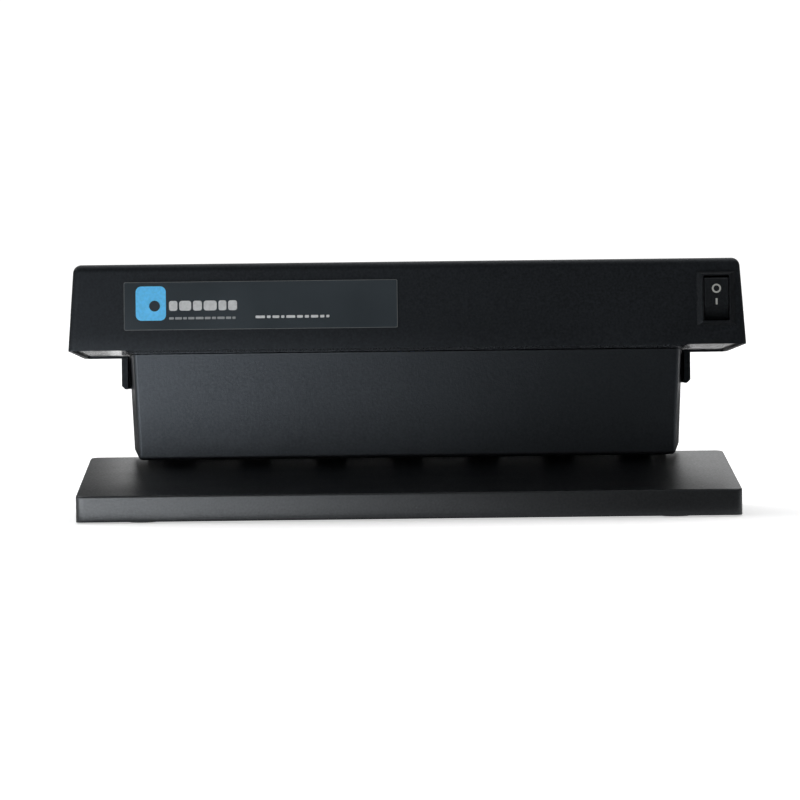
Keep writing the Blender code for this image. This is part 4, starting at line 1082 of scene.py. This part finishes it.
def make_label(film, painted_edge_highlight, blue, pale, dim):
    width, height = LABEL_HALF
    outline = rounded_outline(box_outline((-width, -height), (width, height)), 0.0006)
    sheet = label_piece("label_film_sheet", outline, FILM_FRONT, FILM_BACK)
    round_edges(sheet, 0.00005, 2)
    hand_over(sheet, film, "label_film", "case", "label_sticker")
    rim = HIGHLIGHT_RIM
    inner = rounded_outline(box_outline((-width + rim, -height + rim), (width - rim, height - rim)), 0.0005)
    # A thin lighter ring on the label's front along its border: a painted highlight of the cut edge
    edge = label_piece("label_edge_painted_highlight", outline, RIM_PROUD, FILM_FRONT, [inner])
    hand_over(edge, painted_edge_highlight, "label_film", "case")
    x, z = EMBLEM_CENTRE
    half = EMBLEM_HALF
    tile = rounded_outline(box_outline((x - half[0], z - half[1]), (x + half[0], z + half[1])), 0.0022)
    window = circle_outline((x + half[0] * 0.25, z - half[1] * 0.15), half[0] * 0.36)
    emblem = label_piece("label_emblem", tile, PRINT_FRONT, FILM_FRONT, [window])
    hand_over(emblem, blue, "label_film", "case")
    bar_row("label_bars_title", TITLE, pale)
    bar_row("label_bars_caption", CAPTION, dim)
    bar_row("label_bars_note", NOTE, pale)


# Lamps and hardware


def make_tubes(glass, tin):
    for row in ("front", "rear"):
        low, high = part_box(f"uv_tube_{row}")
        centre = (low + high) / 2
        radius = (high.y - low.y) / 2
        profile = [
            (0.0, high.x),
            (radius * 0.80, high.x),
            (radius, high.x - 0.0016),
            (radius, low.x + 0.0016),
            (radius * 0.80, low.x),
            (0.0, low.x),
        ]
        bm = bmesh.new()
        add_turned(bm, profile)
        bmesh.ops.rotate(bm, verts=bm.verts, matrix=Matrix.Rotation(math.pi / 2, 3, "Y"))
        bmesh.ops.translate(bm, verts=bm.verts, vec=(0, centre.y, centre.z))
        tube = start_piece(f"lamp_glass_{row}", bm)
        round_edges(tube, 0.0003)
        hand_over(tube, glass, "uv_filter_glass", f"lamp_{row}", f"uv_tube_{row}")
        for side, sign in (("left", -1), ("right", 1)):
            make_cap(row, side, sign, tin)


def make_cap(row, side, sign, tin):
    """A spun end cap with its insulating disc and two contact pins."""
    node = f"tube_cap_{row}_{side}"
    low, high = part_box(node)
    centre = (low + high) / 2
    tip = high.x if sign > 0 else -low.x
    inner = min(abs(low.x), abs(high.x))
    face = tip - PIN_LENGTH
    radius = (high.y - low.y) / 2
    profile = [
        (0.0, face),
        (radius * 0.70, face),
        (radius * 0.74, face - 0.0004),
        (radius - 0.0006, face - 0.0004),
        (radius, face - 0.0012),
        (radius, face - 0.0048),
        (radius - 0.0003, face - 0.0053),
        (radius - 0.0003, face - 0.0057),
        (radius, face - 0.0062),
        (radius, inner),
        (0.0, inner),
    ]
    bm = bmesh.new()
    add_turned(bm, profile)
    turn = Matrix.Rotation(math.pi / 2, 3, "Y")
    bmesh.ops.rotate(bm, verts=bm.verts, matrix=turn)
    cap = start_piece(f"lamp_cap_{row}_{side}", bm)
    bm = bmesh.new()
    for offset in (-PIN_PITCH / 2, PIN_PITCH / 2):
        add_rod(bm, (face - 0.001, offset, 0), (tip - 0.0004, offset, 0), PIN_RADIUS, 24)
    combine(cap, bm, "UNION")
    cap.data.transform(Matrix.Translation((0, centre.y, centre.z)) @ Matrix.Diagonal((sign, 1, 1, 1)))
    if sign < 0:
        cap.data.flip_normals()
    round_edges(cap, 0.00015, 2, 40.0)
    hand_over(cap, tin, "reflector_aluminium", f"lamp_{row}", node)


def screw_form(length):
    """Pan-head screw with a crossed recess; its seat is at z = 0 and the shank runs down."""
    profile = [(0.0, SCREW_TOP)]
    for step in range(1, 9):
        angle = math.radians(90 - 10 * step)
        profile.append((SCREW_HEAD * math.cos(angle), SCREW_TOP * (0.35 + 0.65 * math.sin(angle))))
    profile += [(SCREW_HEAD, SCREW_TOP * 0.3), (SCREW_HEAD, 0.0), (SCREW_CORE, 0.0)]
    turns = int((length - 0.0015) / THREAD_PITCH)
    for turn in range(turns):
        z = -0.0004 - turn * THREAD_PITCH
        crest, foot = z - THREAD_PITCH * 0.35, z - THREAD_PITCH * 0.7
        profile += [(SCREW_CORE, z), (SCREW_CREST, crest), (SCREW_CORE, foot)]
    profile += [(SCREW_CORE, 0.0012 - length), (0.0003, -length), (0.0, -length)]
    bm = bmesh.new()
    add_turned(bm, profile, 32)
    form = start_piece("screw_form", bm)
    for turn in (0.0, math.pi / 2):
        bm = bmesh.new()
        reach, half = RECESS_HALF
        add_block(bm, (-reach, -half, SCREW_TOP - RECESS_DEPTH), (reach, half, SCREW_TOP + 0.001))
        bmesh.ops.rotate(bm, verts=bm.verts, matrix=Matrix.Rotation(turn + 0.4, 3, "Z"))
        combine(form, bm)
    mesh = form.data
    bpy.data.objects.remove(form, do_unlink=True)
    return mesh


def make_screws(steel):
    """Each screw's head lies at the low or high end of its CAD node."""
    sides = {
        "pan_screw": (Vector((0, 0, -1)), LONG_SCREW),
        "rear_cover_screw": (Vector((0, 1, 0)), LONG_SCREW),
        "bottom_plate_screw": (Vector((0, 0, -1)), SHORT_SCREW),
        "column_screw": (Vector((0, 0, -1)), LONG_SCREW),
        "neck_screw": (Vector((0, 0, 1)), LONG_SCREW),
    }
    forms = {length: screw_form(length) for length in (LONG_SCREW, SHORT_SCREW)}
    for prefix, (head, length) in sides.items():
        for i, (centre, node) in enumerate(screw_spots(prefix)):
            low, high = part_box(node)
            reach = max(high - low) / 2
            seat = centre + head * (reach - SCREW_TOP)
            turn = head.to_track_quat("Z", "Y").to_matrix().to_4x4()
            spin = Matrix.Rotation(0.7 * i, 4, "Z")
            mesh = forms[length].copy()
            mesh.transform(Matrix.Translation(seat) @ turn @ spin)
            screw = link(bpy.data.objects.new(node + "_steel", mesh))
            round_edges(screw, 0.00008, 2, 40.0)
            hand_over(screw, steel, "zinc_steel", "case", node)


def make_gland(material):
    """Ring that lines the cord inlet, with ribs round its outer flange."""
    low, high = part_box("cord_gland")
    centre = (low + high) / 2
    depth, radius = high.y - low.y, (high.x - low.x) / 2
    profile = [
        (BUSH_BORE, 0.0),
        (BUSH_BORE, depth - 0.0004),
        (0.0040, depth),
        (0.0047, depth - 0.0002),
        (radius - 0.0004, depth - 0.0053),
        (radius, depth - 0.0058),
        (radius, depth - BUSH_FLANGE),
        (BUSH_NECK, depth - BUSH_FLANGE),
        (BUSH_NECK, depth - BUSH_GROOVE),
        (0.0066, depth - BUSH_GROOVE),
        (0.0064, 0.0004),
        (0.0060, 0.0),
        (BUSH_BORE, 0.0),
    ]
    bm = bmesh.new()
    add_turned(bm, profile, 64)
    for vert in bm.verts:
        turn = math.atan2(vert.co.y, vert.co.x)
        if vert.co.xy.length > radius - 0.0007 and vert.co.z > depth - 0.007:
            vert.co.xy *= 1.0 - 0.018 * (1 + math.cos(16 * turn))
    bmesh.ops.rotate(bm, verts=bm.verts, matrix=Matrix.Rotation(-math.pi / 2, 3, "X"))
    bmesh.ops.translate(bm, verts=bm.verts, vec=(centre.x, low.y, centre.z))
    gland = start_piece("cord_bush", bm)
    round_edges(gland, 0.00012, 2, 40.0)
    hand_over(gland, material, "foot_rubber", "case", "cord_gland")


# Slot and edge width of the CAD nodes that are kept, by the start of their names
CARRIED = {
    "head_pan": ("pan_plastic", 0.0003),
    "bottom_plate": ("zinc_steel", 0.0003),
    "reflector": ("reflector_aluminium", 0.0001),
    "holder_rotor": ("white_thermoplastic", 0.0002),
    "lampholder": ("white_thermoplastic", 0.0003),
    "switch_plunger": ("white_thermoplastic", 0.0001),
    "plunger_spring": ("zinc_steel", 0.00003),
    "contact_blade": ("contact_brass", 0.0001),
    "switch_terminal": ("contact_brass", 0.0001),
    "ballast": ("core_lamination", 0.0004),
    "starter_socket": ("white_thermoplastic", 0.0003),
    "starter": ("starter_canister", 0.0004),
    "terminal_block": ("white_thermoplastic", 0.0003),
    "wire": ("wire_pvc", 0.0001),
}


def dress(materials):
    """Carried-over CAD nodes: a finish each, and broken edges."""
    for name, node in NODES.items():
        kinds = [kind for kind in CARRIED if name.startswith(kind)]
        if not kinds:
            continue
        slot, width = CARRIED[kinds[0]]
        node.data.materials.clear()
        node.data.materials.append(materials[slot])
        weld = node.modifiers.new("weld", "WELD")
        weld.merge_threshold = 1e-6
        round_edges(node, width, 2)


def main():
    bpy.context.scene.view_settings.view_transform = "Standard"
    make_camera()
    make_floor()
    make_backdrop()
    make_room()
    make_sun()
    make_table_glow()
    make_flags()
    head_black = moulded_black("head_black", HEAD_BLACK, 0.50, 1500.0, 0.4, gloss=0.14)
    column_black = moulded_black("column_black", COLUMN_BLACK, 0.44, 1900.0, 0.55)
    bed_black = moulded_black("bed_black", BED_BLACK, 0.36, 2300.0, 0.35, tint=FAINT_COOL)
    switch_black = moulded_black("switch_black", SWITCH_BLACK, 0.40, 2600.0, 0.2, gloss=0.14, worn=0.25)
    materials = {
        "pan_plastic": moulded_black("pan_black", BED_BLACK, 0.2, 2300.0, 0.08),
        "zinc_steel": make_metal("zinc_steel", (0.52, 0.53, 0.52), 0.36, (1.0, 0.1, 1.0)),
        "reflector_aluminium": make_metal("reflector_aluminium", ALUMINIUM, 0.20, (0.04, 1.0, 1.0)),
        "contact_brass": make_metal("contact_brass", (0.72, 0.52, 0.24), 0.32, (1.0, 1.0, 0.1)),
        "white_thermoplastic": make_pale_plastic("white_thermoplastic", (0.74, 0.74, 0.70)),
        "starter_canister": make_pale_plastic("starter_canister", (0.80, 0.80, 0.76), 0.36),
        "core_lamination": make_lamination(),
        "wire_pvc": make_pale_plastic("wire_pvc", (0.035, 0.09, 0.32), 0.5),
    }
    rubber = make_rubber()
    print_pale = make_print("print_pale", (0.58, 0.60, 0.61))
    print_dim = make_print("print_dim", (0.26, 0.28, 0.29))
    print_blue = make_print("print_blue", (0.080, 0.55, 1.0))
    # Lighter colour for the ring round the label's border: a painted edge highlight
    painted_edge_highlight = make_print("painted_edge_highlight", (0.085, 0.095, 0.100))
    make_head_cover(head_black)
    make_column(column_black)
    make_rear_cover(head_black)
    make_base(bed_black)
    make_feet(rubber)
    make_bezel(switch_black)
    make_rocker(switch_black)
    make_switch_marks(make_print("print_switch", (0.38, 0.39, 0.37)))
    make_label(make_label_film(), painted_edge_highlight, print_blue, print_pale, print_dim)
    make_tubes(make_uv_glass(), materials["reflector_aluminium"])
    make_screws(make_metal("screw_steel", BLACK_STEEL, 0.42, (1.0, 1.0, 0.3)))
    make_gland(rubber)
    dress(materials)


main()
